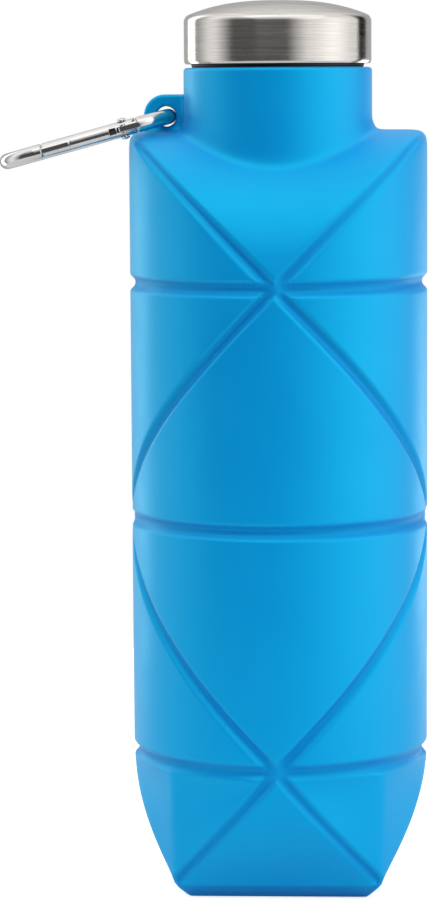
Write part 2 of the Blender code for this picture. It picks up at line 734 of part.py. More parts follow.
def build():
    clear_scene()
    silicone = make_material("blue_silicone", (0.003, 0.28, 0.62), 0.62)
    plastic = make_material("black_plastic", (0.02, 0.02, 0.022), 0.45)
    steel = make_material("brushed_steel", (0.55, 0.54, 0.52), 0.3, 1.0)
    seal = make_material("clear_seal", (0.75, 0.76, 0.76), 0.5)
    chrome = make_material("chrome", (0.75, 0.76, 0.78), 0.08, 1.0)
    spring_steel = make_material("spring_steel", (0.45, 0.45, 0.46), 0.35, 1.0)
    add_base_section(silicone)
    add_fold_section("lower_fold_section", LOW_RING_Z, True, silicone)
    add_fold_section("upper_fold_section", MIDDLE_RING_Z, False, silicone)
    add_shoulder_and_neck(silicone)
    add_neck_thread_ring(plastic)
    add_cap_shell(steel)
    add_cap_liner(plastic)
    add_cap_seal(seal)
    add_hook(chrome, spring_steel)


build()
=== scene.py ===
"""Looks of the collapsible silicone bottle: skins, screw cap, neck ring and snap hook."""

import json
import math

import bpy
import numpy as np
from mathutils import Matrix, Vector


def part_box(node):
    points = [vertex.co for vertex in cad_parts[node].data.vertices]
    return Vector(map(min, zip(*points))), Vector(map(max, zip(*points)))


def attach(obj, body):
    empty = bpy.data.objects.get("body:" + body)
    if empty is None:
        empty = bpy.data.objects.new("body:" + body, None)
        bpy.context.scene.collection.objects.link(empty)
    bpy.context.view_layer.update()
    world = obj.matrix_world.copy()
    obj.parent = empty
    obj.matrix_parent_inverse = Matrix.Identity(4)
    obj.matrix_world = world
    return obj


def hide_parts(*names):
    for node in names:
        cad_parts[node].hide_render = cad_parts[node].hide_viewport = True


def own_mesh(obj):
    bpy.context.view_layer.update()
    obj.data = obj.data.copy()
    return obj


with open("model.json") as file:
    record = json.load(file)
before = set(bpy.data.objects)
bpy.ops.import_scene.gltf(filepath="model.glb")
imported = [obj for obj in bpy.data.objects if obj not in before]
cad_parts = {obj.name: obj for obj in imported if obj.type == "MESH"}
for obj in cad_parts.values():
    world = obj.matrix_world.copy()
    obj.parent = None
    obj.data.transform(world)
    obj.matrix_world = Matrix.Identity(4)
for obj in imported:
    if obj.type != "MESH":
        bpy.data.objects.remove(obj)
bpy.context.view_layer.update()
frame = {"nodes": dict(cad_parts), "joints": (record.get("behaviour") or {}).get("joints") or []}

MM = 0.001
FULL_TURN = 2 * math.pi
QUARTER_TURN = math.pi / 2

# Levels and radii of the silicone body, read from the frame where it has them
SEAM = 0.3 * MM
BODY_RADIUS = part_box("upper_fold_section")[1].x
BODY_WALL = 2.2 * MM
LOW_RING_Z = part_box("lower_fold_section")[0].z - SEAM / 2
MIDDLE_RING_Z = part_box("upper_fold_section")[0].z - SEAM / 2
HIGH_RING_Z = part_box("upper_fold_section")[1].z + SEAM / 2
FOLD_PITCH = HIGH_RING_Z - MIDDLE_RING_Z
NECK_TOP_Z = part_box("shoulder_and_neck")[1].z
NECK_HEIGHT = 16.0 * MM
RIDGE_Z = NECK_TOP_Z - NECK_HEIGHT
SHOULDER_RISE = RIDGE_Z - HIGH_RING_Z
NECK_RADIUS = 24.25 * MM
NECK_LIP = 0.9 * MM
POCKET_RADIUS = 22.3 * MM
POCKET_DEPTH = 14.3 * MM
THROAT_RADIUS = 20.0 * MM
FOOT_HALF_SIDE = 26.6 * MM
FOOT_CHAMFER_HEIGHT = 3.8 * MM
FOOT_CHAMFER_INSET = 3.7 * MM
FOOT_LEAN_POWER = 1.85
FOOT_UPRIGHT_SHARE = 0.08
FOOT_UPRIGHT_POWER = 14
FOOT_CHAMFER_POWER = 0.9
# Painted contact shade on the foot's underside and chamfer: how strongly they take the deeper blue
FOOT_PAINTED_SHADE = 0.7
FOOT_CAVITY_SHARE = 0.97
FLOOR_THICKNESS = 3.0 * MM

# Fold grooves
RING_GROOVE_DEPTH = 1.35 * MM
RING_GROOVE_REACH = 2.3 * MM
CREASE_GROOVE_DEPTH = 1.2 * MM
CREASE_GROOVE_REACH = 1.9 * MM
GROOVE_FLATNESS = 1.4
GROOVE_JOIN_SOFTNESS = 0.12 * MM
CROSSING_RISE = 0.65
CROSSING_REACH = 2.2 * MM
RIDGE_END_FADE = 5.0 * MM
RIDGE_END_DEPTH = 0.15
FOLD_CLEARANCE = 0.01 * MM

# Softness of the moulded edges
FACET_SOFTNESS = 0.35 * MM
FACET_FADE = 9
ROOF_EDGE_SOFTNESS = 0.5 * MM
ROOF_TIP_SOFTNESS = 0.8 * MM
NECK_ROOT_SOFTNESS = 1.0 * MM

# Lug
LUG_HOLE = Vector(next(j for j in frame["joints"] if j["name"] == "carabiner_swing")["pos_m"])
LUG_HOLE_RADIUS = 2.6 * MM
LUG_HOLE_PULL = 0.57 * MM
LUG_HALF_THICKNESS = 2.0 * MM
LUG_OUTER_X = 34.5 * MM
LUG_TOP_Z = RIDGE_Z + 9.3 * MM
LUG_CORNER = 5.4 * MM
LUG_EDGE = 0.8 * MM
LUG_FLARE = 1.2 * MM
LUG_NECK_FLARE = 0.55
LUG_ROOF_FLARE = 0.45

# Neck ring and cap
RING_BORE = 19.3 * MM
SLEEVE_RADIUS = 22.0 * MM
BEAD_RADIUS = 22.7 * MM
COLLAR_RADIUS = 22.2 * MM
COLLAR_BOTTOM_Z = NECK_TOP_Z + SEAM
COLLAR_TOP_Z = COLLAR_BOTTOM_Z + 0.7 * MM
THREAD_TOP_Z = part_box("neck_thread_ring")[1].z
THREAD_ROOT = 20.8 * MM
THREAD_RISE = 0.65 * MM
THREAD_PITCH = 4.0 * MM
THREAD_LEVEL = 0.42
THREAD_SWING = 0.95
LINER_ROOT = 21.6 * MM
LINER_TOP = 1.1 * MM
LINER_THREAD_SHARE = 0.62
SEAL_WIDTH = 3.4 * MM
CAP_SHEET = 0.5 * MM
CAP_EDGE = 2.0 * MM
CAP_DOME_DROP = 3.6 * MM
CAP_DOME_POWER = 2.6
CAP_RIM_CURL = 0.3 * MM
CAP_RIM_DROP = 0.35 * MM
CAP_RIM_REACH = 1.1 * MM

# Snap hook
GATE_PIN = Vector(next(j for j in frame["joints"] if j["name"] == "gate_open")["pos_m"])
HOOK_HALF_WIDTH = abs(GATE_PIN.y)
HINGE_X = math.hypot(GATE_PIN.x - LUG_HOLE.x, GATE_PIN.z - LUG_HOLE.z)
HOOK_ALONG = np.array([GATE_PIN.x - LUG_HOLE.x, 0, GATE_PIN.z - LUG_HOLE.z]) / HINGE_X
HOOK_ACROSS = np.array([0.0, 1.0, 0.0])
HOOK_THROUGH = np.cross(HOOK_ALONG, HOOK_ACROSS)
HOOK_LENGTH = 43.43 * MM
WIRE_RADIUS = 2.0 * MM
TONGUE_RADIUS = 1.7 * MM
TONGUE_HALF_THICKNESS = 0.75 * MM
HINGE_SLOT_HALF = 1.05 * MM
HINGE_SLOT_END_X = HINGE_X + 3.6 * MM
GATE_HEEL_X = HINGE_X - 3.3 * MM
NOSE_BEFORE_BEND = 0.9 * MM
NOSE_X = HOOK_LENGTH - HOOK_HALF_WIDTH - NOSE_BEFORE_BEND
GATE_END_X = NOSE_X - SEAM
NOSE_SLOT_X = NOSE_X - 7.6 * MM
NOSE_SLOT_HALF = 0.9 * MM
NOSE_BLADE_HALF_THICKNESS = 0.6 * MM
NOSE_BLADE_HALF_WIDTH = 1.3 * MM
BLADE_EDGE = 0.15 * MM
CUTTER_EDGE = 0.01 * MM
BAR_END_ROUND = 0.35 * MM
RIVET_TOP = 2.8 * MM
RIVET_SEAT = 2.2 * MM
RIVET_HEAD_RADIUS = 1.25 * MM
RIVET_RADIUS = 0.7 * MM

# Camera, fitted to the photograph's rings, ridge, cap, base corners and groove crossings: metres,
# degrees, and the lens in millimetres
CAMERA_SIDE = 0.02745
CAMERA_DISTANCE = 0.8496
CAMERA_HEIGHT = 0.2064
CAMERA_PITCH = 6.263
CAMERA_YAW = 2.98
CAMERA_ROLL = -0.371
CAMERA_LENS = 131.3

# Light and colour. A room panel has its start and end azimuth in degrees and its brightness
ROOM_PANELS = (("back_wall_left", -180, -143, 0.5), ("strip_light", -138, -123, 2.6),
               ("gap_beside_strip", -119, -115, 0.4), ("left_screen", -92, -80, 1.1),
               ("dark_camera_side", -56, 14, 0.1), ("right_screen_near", 40, 45, 1.1),
               ("right_screen", 70, 80, 1.6), ("right_screen_far", 105, 117, 1.1),
               ("black_flag", 120, 138, 0.0), ("back_wall_right", 143, 180, 0.5))
ROOM_BRIGHTEST = 3.0
ROOM_CEILING = 1.1
ROOM_CEILING_RANGE = 0.35, 0.75
LAMP_AIM = Vector((0, 0, 0.11))
FLOOR_RADIUS = 0.36
FLOOR_GLOW = 0.7
SILICONE = (0.0005, 0.285, 0.77)
SILICONE_DEEP = (0.0005, 0.130, 0.60)

# Grid densities
COLUMNS = 480
WALL_ROWS = 144
FOLD_INNER_ROWS = 14
FOOT_ROWS = 84
SHOULDER_ROWS = 172
FAN_SHARE = 0.76
INNER_ROWS = 26
THREAD_ROWS = 64
FOOT_CREASE_SAMPLES = 160
SHOULDER_CREASE_SAMPLES = 260
LUG_COLUMNS = 144
THREAD_COLUMNS = 288
CAP_COLUMNS = 384
SEAL_COLUMNS = 192
WIRE_SIDES = 32
BEND_STEPS = 40
CORNER_STEPS = 4
OUTLINE_STEPS = 8

# Angles between faces from which an edge counts as sharp
SHARP_FROM = math.radians(35)
CARVED_SHARP_FROM = math.radians(40)


# Grids into meshes

def quads(rows, columns, rows_wrap):
    """Quads of a grid that is closed along its columns, and along its rows too if asked."""
    row = np.arange(rows if rows_wrap else rows - 1)[:, None]
    column = np.arange(columns)[None, :]
    above, after = (row + 1) % rows, (column + 1) % columns
    here, over = row * columns, above * columns
    corners = here + column, here + after, over + after, over + column
    return np.stack(np.broadcast_arrays(*corners), axis=-1).reshape(-1, 4)


def grid_volume(points, faces):
    """Signed volume inside a closed mesh: a sixth of the sum of a . (b x c) over its triangles."""
    a, b, c, d = (points[faces[:, k]] for k in range(4))
    return (np.einsum("ij,ij->i", a, np.cross(b, c)) + np.einsum("ij,ij->i", a, np.cross(c, d))).sum() / 6


def closed_grid(name, points, rows_wrap, marks=None):
    """A closed piece from a (rows, columns, 3) array, with named values per point if given.

    Where the rows don't wrap, the first and the last row shrink to one point each.
    """
    rows, columns = points.shape[:2]
    flat = points.reshape(-1, 3)
    faces = quads(rows, columns, rows_wrap)
    if grid_volume(flat, faces) < 0:
        faces = faces[:, ::-1]
    faces = faces.tolist()
    marks = {key: np.broadcast_to(value, (rows, columns)).ravel() for key, value in (marks or {}).items()}
    if not rows_wrap:
        last = (rows - 1) * columns
        keep = np.concatenate([[0], np.arange(columns, last), [last]])
        place = np.zeros(rows * columns, int)
        place[keep] = np.arange(len(keep))
        place[:columns], place[last:] = 0, len(keep) - 1
        faces = [list(dict.fromkeys(place[face].tolist())) for face in faces]
        flat = flat[keep]
        marks = {key: value[keep] for key, value in marks.items()}
    mesh = bpy.data.meshes.new(name)
    mesh.from_pydata(flat.tolist(), [], faces)
    for key, value in marks.items():
        mesh.attributes.new(key, "FLOAT", "POINT").data.foreach_set("value", value.astype(np.float32))
    return linked(name, mesh)


def linked(name, mesh):
    """The mesh as an object of the scene, smooth but for its sharp edges."""
    mesh.shade_smooth()
    mesh.set_sharp_from_angle(angle=SHARP_FROM)
    piece = bpy.data.objects.new(name, mesh)
    bpy.context.scene.collection.objects.link(piece)
    return piece


def azimuths(columns):
    return FULL_TURN * np.arange(columns) / columns


def around(radius, height, azimuth):
    """Points at a radius and height for each azimuth, as a (rows, columns, 3) array."""
    radius, height, azimuth = np.broadcast_arrays(radius, height, azimuth)
    return np.stack([radius * np.cos(azimuth), radius * np.sin(azimuth), height], axis=-1)


def turned(profile, columns=COLUMNS):
    """A profile of (radius, height) points carried round the vertical axis."""
    profile = np.asarray(profile, float)
    return around(profile[:, :1], profile[:, 1:], azimuths(columns)[None, :])


def rounded(corners, radius, closed=True):
    """An outline whose corners are rounded by quadratic curves, with a holding point each side."""
    corners = np.asarray(corners, float)
    outline = []
    for index, corner in enumerate(corners):
        if not closed and index in (0, len(corners) - 1):
            outline.append(corner[None])
            continue
        before, after = corners[index - 1] - corner, corners[(index + 1) % len(corners)] - corner
        far, near = np.linalg.norm(before), np.linalg.norm(after)
        cut = min(radius, 0.45 * far, 0.45 * near)
        start, end = corner + before / far * cut, corner + after / near * cut
        t = np.linspace(0, 1, CORNER_STEPS + 1)[:, None]
        curve = (1 - t) ** 2 * start + 2 * t * (1 - t) * corner + t ** 2 * end
        hold = 0.1 * cut
        outline += [(start + before / far * hold)[None], curve, (end + after / near * hold)[None]]
    return np.concatenate(outline)


def smooth_least(values, softness):
    """The least of several surfaces, rounded where they cross: minus k log of the sum of exp(-v/k)."""
    values = np.stack(np.broadcast_arrays(*values))
    least = values.min(axis=0)
    return least - softness * np.log(np.exp(-(values - least) / softness).sum(axis=0))


def smooth_most(values, softness):
    """The greatest of several surfaces, filleted where they cross."""
    return -smooth_least([-np.asarray(value) for value in values], softness)


def groove(distance, depth, reach):
    """Depth of a round-lipped groove: depth times the squared cosine of a power of the way out."""
    share = np.clip(np.abs(distance) / reach, 0, 1) ** GROOVE_FLATNESS
    return depth * np.cos(share * QUARTER_TURN) ** 2


def deeper(first, second):
    """Crossing grooves: the deeper one counts, rounded where the two are alike."""
    both = smooth_most([first, second], GROOVE_JOIN_SOFTNESS)
    fade = np.exp(-np.maximum(first, second) / GROOVE_JOIN_SOFTNESS)
    return both - GROOVE_JOIN_SOFTNESS * math.log(2) * fade


def crossing_fade(points, ring_z, across):
    """Grooves grow shallow where they meet: one less a bell of the distance to the meeting point.

    The meeting points lie on a ring, where the coordinate numbered across is zero.
    """
    distance = points[..., across] ** 2 + (points[..., 2] - ring_z) ** 2
    return 1 - CROSSING_RISE * np.exp(-distance / CROSSING_REACH ** 2)


def outward_normals(points):
    """Unit normals of a grid closed along its columns, from central differences."""
    along = np.gradient(points, axis=0)
    across = np.roll(points, -1, axis=1) - np.roll(points, 1, axis=1)
    normal = np.cross(across, along)
    return normal / np.maximum(np.linalg.norm(normal, axis=-1, keepdims=True), 1e-12)


def distance_to_curve(points, curve):
    """Distance from each point to a finely sampled curve."""
    flat = points.reshape(-1, 3).astype(np.float32)
    best = np.full(len(flat), np.inf, np.float32)
    for sample in curve.astype(np.float32):
        best = np.minimum(best, ((flat - sample) ** 2).sum(axis=1))
    return np.sqrt(best).reshape(points.shape[:2])


# Silicone skins

def crease_distance(azimuth, share, from_front):
    """Distance on the unrolled wall to the nearest diagonal of a fold section.

    The diagonals zigzag between the rings, so the nearest one is where the folded azimuth, a
    triangle wave from 0 to 1 over each quarter turn, equals the share of the way up.
    """
    start = -QUARTER_TURN if from_front else 0.0
    turn = np.mod(azimuth - start, 2 * QUARTER_TURN) / QUARTER_TURN
    wave = np.minimum(turn, 2 - turn)
    return np.abs(wave - share) * FOLD_PITCH / math.sqrt(2)


def crease_groove(distance):
    return groove(distance, CREASE_GROOVE_DEPTH, CREASE_GROOVE_REACH)


def ring_groove(height, ring_z):
    return groove(height - ring_z, RING_GROOVE_DEPTH, RING_GROOVE_REACH)


def fold_skin(name, bottom, from_front):
    """A round wall whose radius drops by the crease and ring grooves; plain inside."""
    share = np.linspace(0, 1, WALL_ROWS + 1)[:, None]
    height = bottom + FOLD_CLEARANCE + share * (FOLD_PITCH - 2 * FOLD_CLEARANCE)
    azimuth = azimuths(COLUMNS)[None, :]
    crease = crease_groove(crease_distance(azimuth, share, from_front))
    rings = ring_groove(height, bottom) + ring_groove(height, bottom + FOLD_PITCH)
    wall = around(BODY_RADIUS, height, azimuth)
    low_across, high_across = (0, 1) if from_front else (1, 0)
    meeting = crossing_fade(wall, bottom, low_across)
    meeting = meeting * crossing_fade(wall, bottom + FOLD_PITCH, high_across)
    depth = deeper(crease, rings + 0 * crease) * meeting
    outer = around(BODY_RADIUS - depth, height, azimuth)
    inner_rows = np.linspace(height[-1, 0], height[0, 0], FOLD_INNER_ROWS)
    inner = turned(np.stack([np.full(FOLD_INNER_ROWS, BODY_RADIUS - BODY_WALL), inner_rows], axis=1))
    # The groove depth is kept as a mark that paints shade into the grooves as a deeper blue
    painted_shade_mask = np.concatenate([depth / RING_GROOVE_DEPTH, np.zeros((FOLD_INNER_ROWS, COLUMNS))])
    return closed_grid(name, np.concatenate([outer, inner]), rows_wrap=True, marks={"painted_shade_mask": painted_shade_mask})


def foot_height(share):
    return LOW_RING_Z - share * (LOW_RING_Z - FOOT_CHAMFER_HEIGHT)


def foot_flat(share, radius, half_side):
    """Distance out to the flat side: it leans in by a power of share, and less so at the base."""
    share = np.clip(share, 0, 1)
    lean = (1 + FOOT_UPRIGHT_SHARE) * share ** FOOT_LEAN_POWER
    lean = lean - FOOT_UPRIGHT_SHARE * share ** FOOT_UPRIGHT_POWER
    return radius - (radius - half_side) * lean


def foot_reach(azimuth, share, radius, half_side):
    """Radius of the foot's section: the least of a flat side and the two facets beside a corner line.

    The flat side stands at foot_flat and is half_side times share wide each way. The facet
    runs from its end to the corner line, which leans straight from the circle to the square,
    and bulges by a parabola that makes the section round at the ring and fades below it.
    """
    share = np.clip(share, 0, 0.999)
    turn = np.abs(np.mod(azimuth + QUARTER_TURN / 2, QUARTER_TURN) - QUARTER_TURN / 2)
    side, ahead = np.sin(turn), np.cos(turn)
    flat = foot_flat(share, radius, half_side)
    end = half_side * share
    corner = radius / math.sqrt(2) * (1 - share) + half_side * share
    tilt, level = flat - corner, corner - end
    facet_distance = corner * (tilt + level)
    facet = facet_distance / (tilt * side + level * ahead)
    mirrored = facet_distance / (tilt * ahead + level * side)
    start = np.arctan2(end, flat)
    place = np.clip((turn - start) / (QUARTER_TURN / 2 - start), 0, 1)
    round_off = radius * (1 - math.cos(QUARTER_TURN / 4))
    bulge = round_off * (1 - share) ** FACET_FADE * 4 * place * (1 - place)
    soft = FACET_SOFTNESS * np.clip(share * 8, 0.02, 1)
    return smooth_least([flat / ahead + 0 * turn, facet + bulge, mirrored + bulge], soft)


def foot_crease():
    """The crease from the front of the ring to a base corner, in the quadrant x > 0, y > 0."""
    share = np.linspace(0, 1, FOOT_CREASE_SAMPLES)
    return np.stack([FOOT_HALF_SIDE * share, foot_flat(share, BODY_RADIUS, FOOT_HALF_SIDE),
                     foot_height(share)], axis=1)


def foot_skin():
    """Underside, chamfer, leaning sides with their grooves, then the cavity back to its floor.

    The underside and the chamfer are marked with painted shade, a deeper blue where the floor shades them.
    """
    azimuth = azimuths(COLUMNS)[None, :]
    base = foot_reach(azimuth, np.array([[1.0]]), BODY_RADIUS, FOOT_HALF_SIDE)
    inset = (FOOT_HALF_SIDE - FOOT_CHAMFER_INSET) / FOOT_HALF_SIDE
    bottom = around(base * inset * np.linspace(0, 1, 10)[:, None], 0.0, azimuth)
    rise = np.linspace(0, 1, 9)[1:, None]
    chamfer_share = inset + (1 - inset) * rise ** FOOT_CHAMFER_POWER
    chamfer = around(base * chamfer_share, rise * FOOT_CHAMFER_HEIGHT, azimuth)
    share = np.linspace(1, 0, FOOT_ROWS)[1:, None]
    leaning = around(foot_reach(azimuth, share, BODY_RADIUS, FOOT_HALF_SIDE), foot_height(share), azimuth)
    sides = np.concatenate([chamfer, leaning])
    crease = crease_groove(distance_to_curve(np.abs(sides), foot_crease()))
    depth = deeper(crease, ring_groove(sides[..., 2], LOW_RING_Z)) * crossing_fade(sides, LOW_RING_Z, 0)
    normal = outward_normals(sides)
    normal[-1] = around(1.0, 0.0, azimuth)[0]
    sides = sides - normal * depth[..., None]
    inside = BODY_RADIUS - BODY_WALL, FOOT_HALF_SIDE - BODY_WALL
    inner_share = np.linspace(0, FOOT_CAVITY_SHARE, INNER_ROWS)[:, None]
    cavity = around(foot_reach(azimuth, inner_share, *inside), foot_height(inner_share), azimuth)
    floor_edge = foot_reach(azimuth, np.array([[FOOT_CAVITY_SHARE]]), *inside)
    floor = around(floor_edge * np.linspace(1, 0, 8)[1:, None], FLOOR_THICKNESS, azimuth)
    shell = np.concatenate([bottom, sides, cavity, floor])
    painted_shade_mask = np.zeros(shell.shape[:2])
    # Painted shade: the grooves get a deeper blue by their depth
    painted_shade_mask[len(bottom):len(bottom) + len(sides)] = depth / RING_GROOVE_DEPTH
    # Painted contact shade: the underside and the chamfer get a deeper blue
    painted_shade_mask[:len(bottom) + len(chamfer) - 1] = FOOT_PAINTED_SHADE
    return closed_grid("silicone_foot", shell, rows_wrap=False, marks={"painted_shade_mask": painted_shade_mask})


def shoulder_reach(azimuth, origin_z, slope, radius, rise, neck):
    """How far out a ray from the axis leaves the shoulder and neck.

    The ray climbs by slope. Tube and roof are joined by their softened least, where the roof is
    the ellipse (y / radius)^2 + (z / rise)^2 = 1 carried along x. The neck's radius is then
    joined by the softened greatest.
    """
    lift = origin_z - HIGH_RING_Z
    square = np.maximum((np.sin(azimuth) / radius) ** 2 + (slope / rise) ** 2, 1e-3)
    half = slope * lift / rise ** 2
    rest = (lift / rise) ** 2 - 1
    roof = (-half + np.sqrt(np.maximum(half ** 2 - square * rest, 0))) / square
    fade = np.clip(slope / 0.2, 0.02, 1)
    softness = (ROOF_EDGE_SOFTNESS + ROOF_TIP_SOFTNESS * np.abs(np.cos(azimuth)) ** 8) * fade
    body = smooth_least([radius + 0 * roof, roof], softness)
    return smooth_most([body, neck + 0 * body], NECK_ROOT_SOFTNESS * np.clip(slope - 0.6, 0.02, 1))


def shoulder_rays(rows, top_z, neck):
    """Ray origins and slopes: first a fan from the ring's middle, then up the neck to level."""
    fan = int(rows * FAN_SHARE)
    start = RIDGE_Z + 1.0 * MM
    steepest = (start - HIGH_RING_Z) / neck
    climb = np.linspace(0, 1, rows - fan + 1)[1:]
    fading = steepest * (1 - climb)
    origin = np.concatenate([np.full(fan, HIGH_RING_Z), start + climb * (top_z - start) - fading * neck])
    return origin[:, None], np.concatenate([np.linspace(0, steepest, fan), fading])[:, None]


def shoulder_crease():
    """The edge, straight when seen from the front, from the ring's front up to the ridge's end."""
    angle = np.linspace(0, QUARTER_TURN, SHOULDER_CREASE_SAMPLES)
    return np.stack([BODY_RADIUS * np.sin(angle), BODY_RADIUS * np.cos(angle),
                     HIGH_RING_Z + SHOULDER_RISE * np.sin(angle)], axis=1)


def shoulder_skin():
    """Outside by rays from the axis, sunk along its normals by the grooves; then lip and inside.

    The crease grows shallow in proportion to the height that is left below the ridge.
    """
    azimuth = azimuths(COLUMNS)[None, :]
    origin, slope = shoulder_rays(SHOULDER_ROWS, NECK_TOP_Z - NECK_LIP, NECK_RADIUS)
    reach = shoulder_reach(azimuth, origin, slope, BODY_RADIUS, SHOULDER_RISE, NECK_RADIUS)
    outer = around(reach, origin + slope * reach, azimuth)
    crease = crease_groove(distance_to_curve(np.abs(outer), shoulder_crease()))
    crease = crease * np.clip((RIDGE_Z - outer[..., 2]) / RIDGE_END_FADE, RIDGE_END_DEPTH, 1)
    depth = deeper(crease, ring_groove(outer[..., 2], HIGH_RING_Z)) * crossing_fade(outer, HIGH_RING_Z, 0)
    normal = outward_normals(outer)
    normal[0] = around(1.0, 0.0, azimuth)[0]
    outer = outer - normal * depth[..., None]
    turn = np.linspace(0, QUARTER_TURN, 7)[1:]
    lip = np.stack([NECK_RADIUS - NECK_LIP + NECK_LIP * np.cos(turn),
                    NECK_TOP_Z - NECK_LIP + NECK_LIP * np.sin(turn)], axis=1)
    floor = NECK_TOP_Z - POCKET_DEPTH
    pocket = rounded([(POCKET_RADIUS - 1e-4, NECK_TOP_Z), (POCKET_RADIUS, NECK_TOP_Z - 0.2 * MM),
                      (POCKET_RADIUS, floor), (THROAT_RADIUS, floor)], 0.2 * MM, closed=False)
    inner_origin, inner_slope = shoulder_rays(INNER_ROWS, floor - 0.4 * MM, THROAT_RADIUS)
    inner_reach = shoulder_reach(azimuth, inner_origin, inner_slope, BODY_RADIUS - BODY_WALL,
                                 SHOULDER_RISE - BODY_WALL, THROAT_RADIUS)
    inner = around(inner_reach, inner_origin + inner_slope * inner_reach, azimuth)[::-1]
    shell = np.concatenate([outer, turned(lip), turned(pocket), inner])
    # The groove depth is kept as a mark that paints shade into the grooves as a deeper blue
    painted_shade_mask = np.zeros(shell.shape[:2])
    painted_shade_mask[:len(outer)] = depth / RING_GROOVE_DEPTH
    return closed_grid("silicone_shoulder", shell, rows_wrap=True, marks={"painted_shade_mask": painted_shade_mask})


# Lug, a tab beside the neck with the hole that the hook hangs in

def lug_outline(angle):
    """Distance from the hole's middle to the tab's outline: a box with one large round corner."""
    left, up = LUG_HOLE.x + LUG_OUTER_X, LUG_TOP_Z - LUG_HOLE.z
    right, down = -LUG_HOLE.x - NECK_RADIUS + BODY_WALL / 2, LUG_HOLE.z - RIDGE_Z + BODY_WALL / 2
    east, north = np.cos(angle), np.sin(angle)
    side = np.where(east < 0, left, right) / np.maximum(np.abs(east), 1e-6)
    level = np.where(north < 0, down, up) / np.maximum(np.abs(north), 1e-6)
    box = smooth_least([side, level], 0.3 * MM)
    centre_x, centre_z = LUG_CORNER - left, up - LUG_CORNER
    along = centre_x * east + centre_z * north
    apart = centre_x ** 2 + centre_z ** 2 - LUG_CORNER ** 2
    corner = along + np.sqrt(np.maximum(along ** 2 - apart, 0))
    in_corner = (corner * east < centre_x) & (corner * north > centre_z)
    return np.where(in_corner, corner, box)


def lug_skin():
    """A washer round the hole: a round-edged band, by direction, from the hole to the outline.

    A section goes round it once: hole edge, face, outer edge, and the same back on the other
    side. The hole is a circle whose middle is shifted a little away from the neck, to where the
    photograph shows it. Near the neck and the roof the band thickens by a fading exponential, as the
    moulded root does.
    """
    angle = azimuths(LUG_COLUMNS)[None, :]
    outline = lug_outline(angle)
    turn = np.linspace(0, QUARTER_TURN, 5)[:, None]
    face = np.linspace(0, 1, 14)[1:-1, None]
    pull = LUG_HOLE_PULL * np.cos(angle)
    hole = np.sqrt(LUG_HOLE_RADIUS ** 2 - (LUG_HOLE_PULL * np.sin(angle)) ** 2) - pull
    hole_edge = hole + LUG_EDGE * (1 - np.cos(turn))
    flat = hole + LUG_EDGE + face * (outline - hole - 2 * LUG_EDGE)
    outer_edge = outline - LUG_EDGE * (1 - np.cos(turn[::-1]))
    half = np.concatenate([hole_edge, flat, outer_edge])
    sink = LUG_HALF_THICKNESS - LUG_EDGE * (1 - np.sin(turn))
    depth = np.concatenate([sink, np.full((len(face), 1), LUG_HALF_THICKNESS), sink[::-1]]) + 0 * outline
    reach = np.concatenate([half, half[::-1]])
    depth = np.concatenate([-depth, depth[::-1]])
    x, z = LUG_HOLE.x + reach * np.cos(angle), LUG_HOLE.z + reach * np.sin(angle)
    from_neck = np.maximum(np.hypot(x, depth) - NECK_RADIUS, 0)
    from_roof = np.maximum(z - RIDGE_Z, 0)
    flare = 1 + LUG_NECK_FLARE * np.exp(-from_neck / LUG_FLARE)
    flare = flare + LUG_ROOF_FLARE * np.exp(-from_roof / LUG_FLARE)
    shell = np.stack([x, depth * flare, z], axis=-1)
    return closed_grid("lug", shell, rows_wrap=True)


# Neck ring and cap

def thread_form(height, azimuth, phase):
    """A right-handed thread's height, 0 to 1: a flattened cosine of the climb within one pitch."""
    turn = FULL_TURN * (height / THREAD_PITCH - phase) - azimuth
    return np.clip(THREAD_LEVEL + THREAD_SWING * np.cos(turn), 0, 1)


def neck_ring_skin():
    """Sleeve, retaining bead and collar are turned; the thread stands on the turned root."""
    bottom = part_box("neck_thread_ring")[0].z
    lower = rounded([(RING_BORE, bottom), (SLEEVE_RADIUS, bottom), (SLEEVE_RADIUS, bottom + 2.4 * MM),
                     (BEAD_RADIUS, bottom + 2.6 * MM), (BEAD_RADIUS, bottom + 3.6 * MM),
                     (SLEEVE_RADIUS, bottom + 4.0 * MM), (SLEEVE_RADIUS, COLLAR_BOTTOM_Z),
                     (COLLAR_RADIUS, COLLAR_BOTTOM_Z), (COLLAR_RADIUS, COLLAR_TOP_Z),
                     (THREAD_ROOT, COLLAR_TOP_Z)], 0.16 * MM)
    climb = np.linspace(COLLAR_TOP_Z + 0.2 * MM, THREAD_TOP_Z - 0.3 * MM, THREAD_ROWS)
    upper = rounded([(THREAD_ROOT, THREAD_TOP_Z), (RING_BORE, THREAD_TOP_Z)], 0.2 * MM)
    thread = np.stack([np.full(len(climb), THREAD_ROOT), climb], axis=1)
    profile = np.concatenate([lower, thread, upper])
    weight = np.zeros((len(profile), 1))
    share = np.linspace(0, 1, len(climb))
    thread_rows = slice(len(lower), len(lower) + len(climb))
    weight[thread_rows, 0] = np.clip(np.minimum(share, 1 - share) * 9, 0, 1)
    azimuth = azimuths(THREAD_COLUMNS)[None, :]
    radius = profile[:, :1] + weight * THREAD_RISE * thread_form(profile[:, 1:], azimuth, 0.0)
    return closed_grid("threaded_neck_ring", around(radius, profile[:, 1:], azimuth), rows_wrap=True)


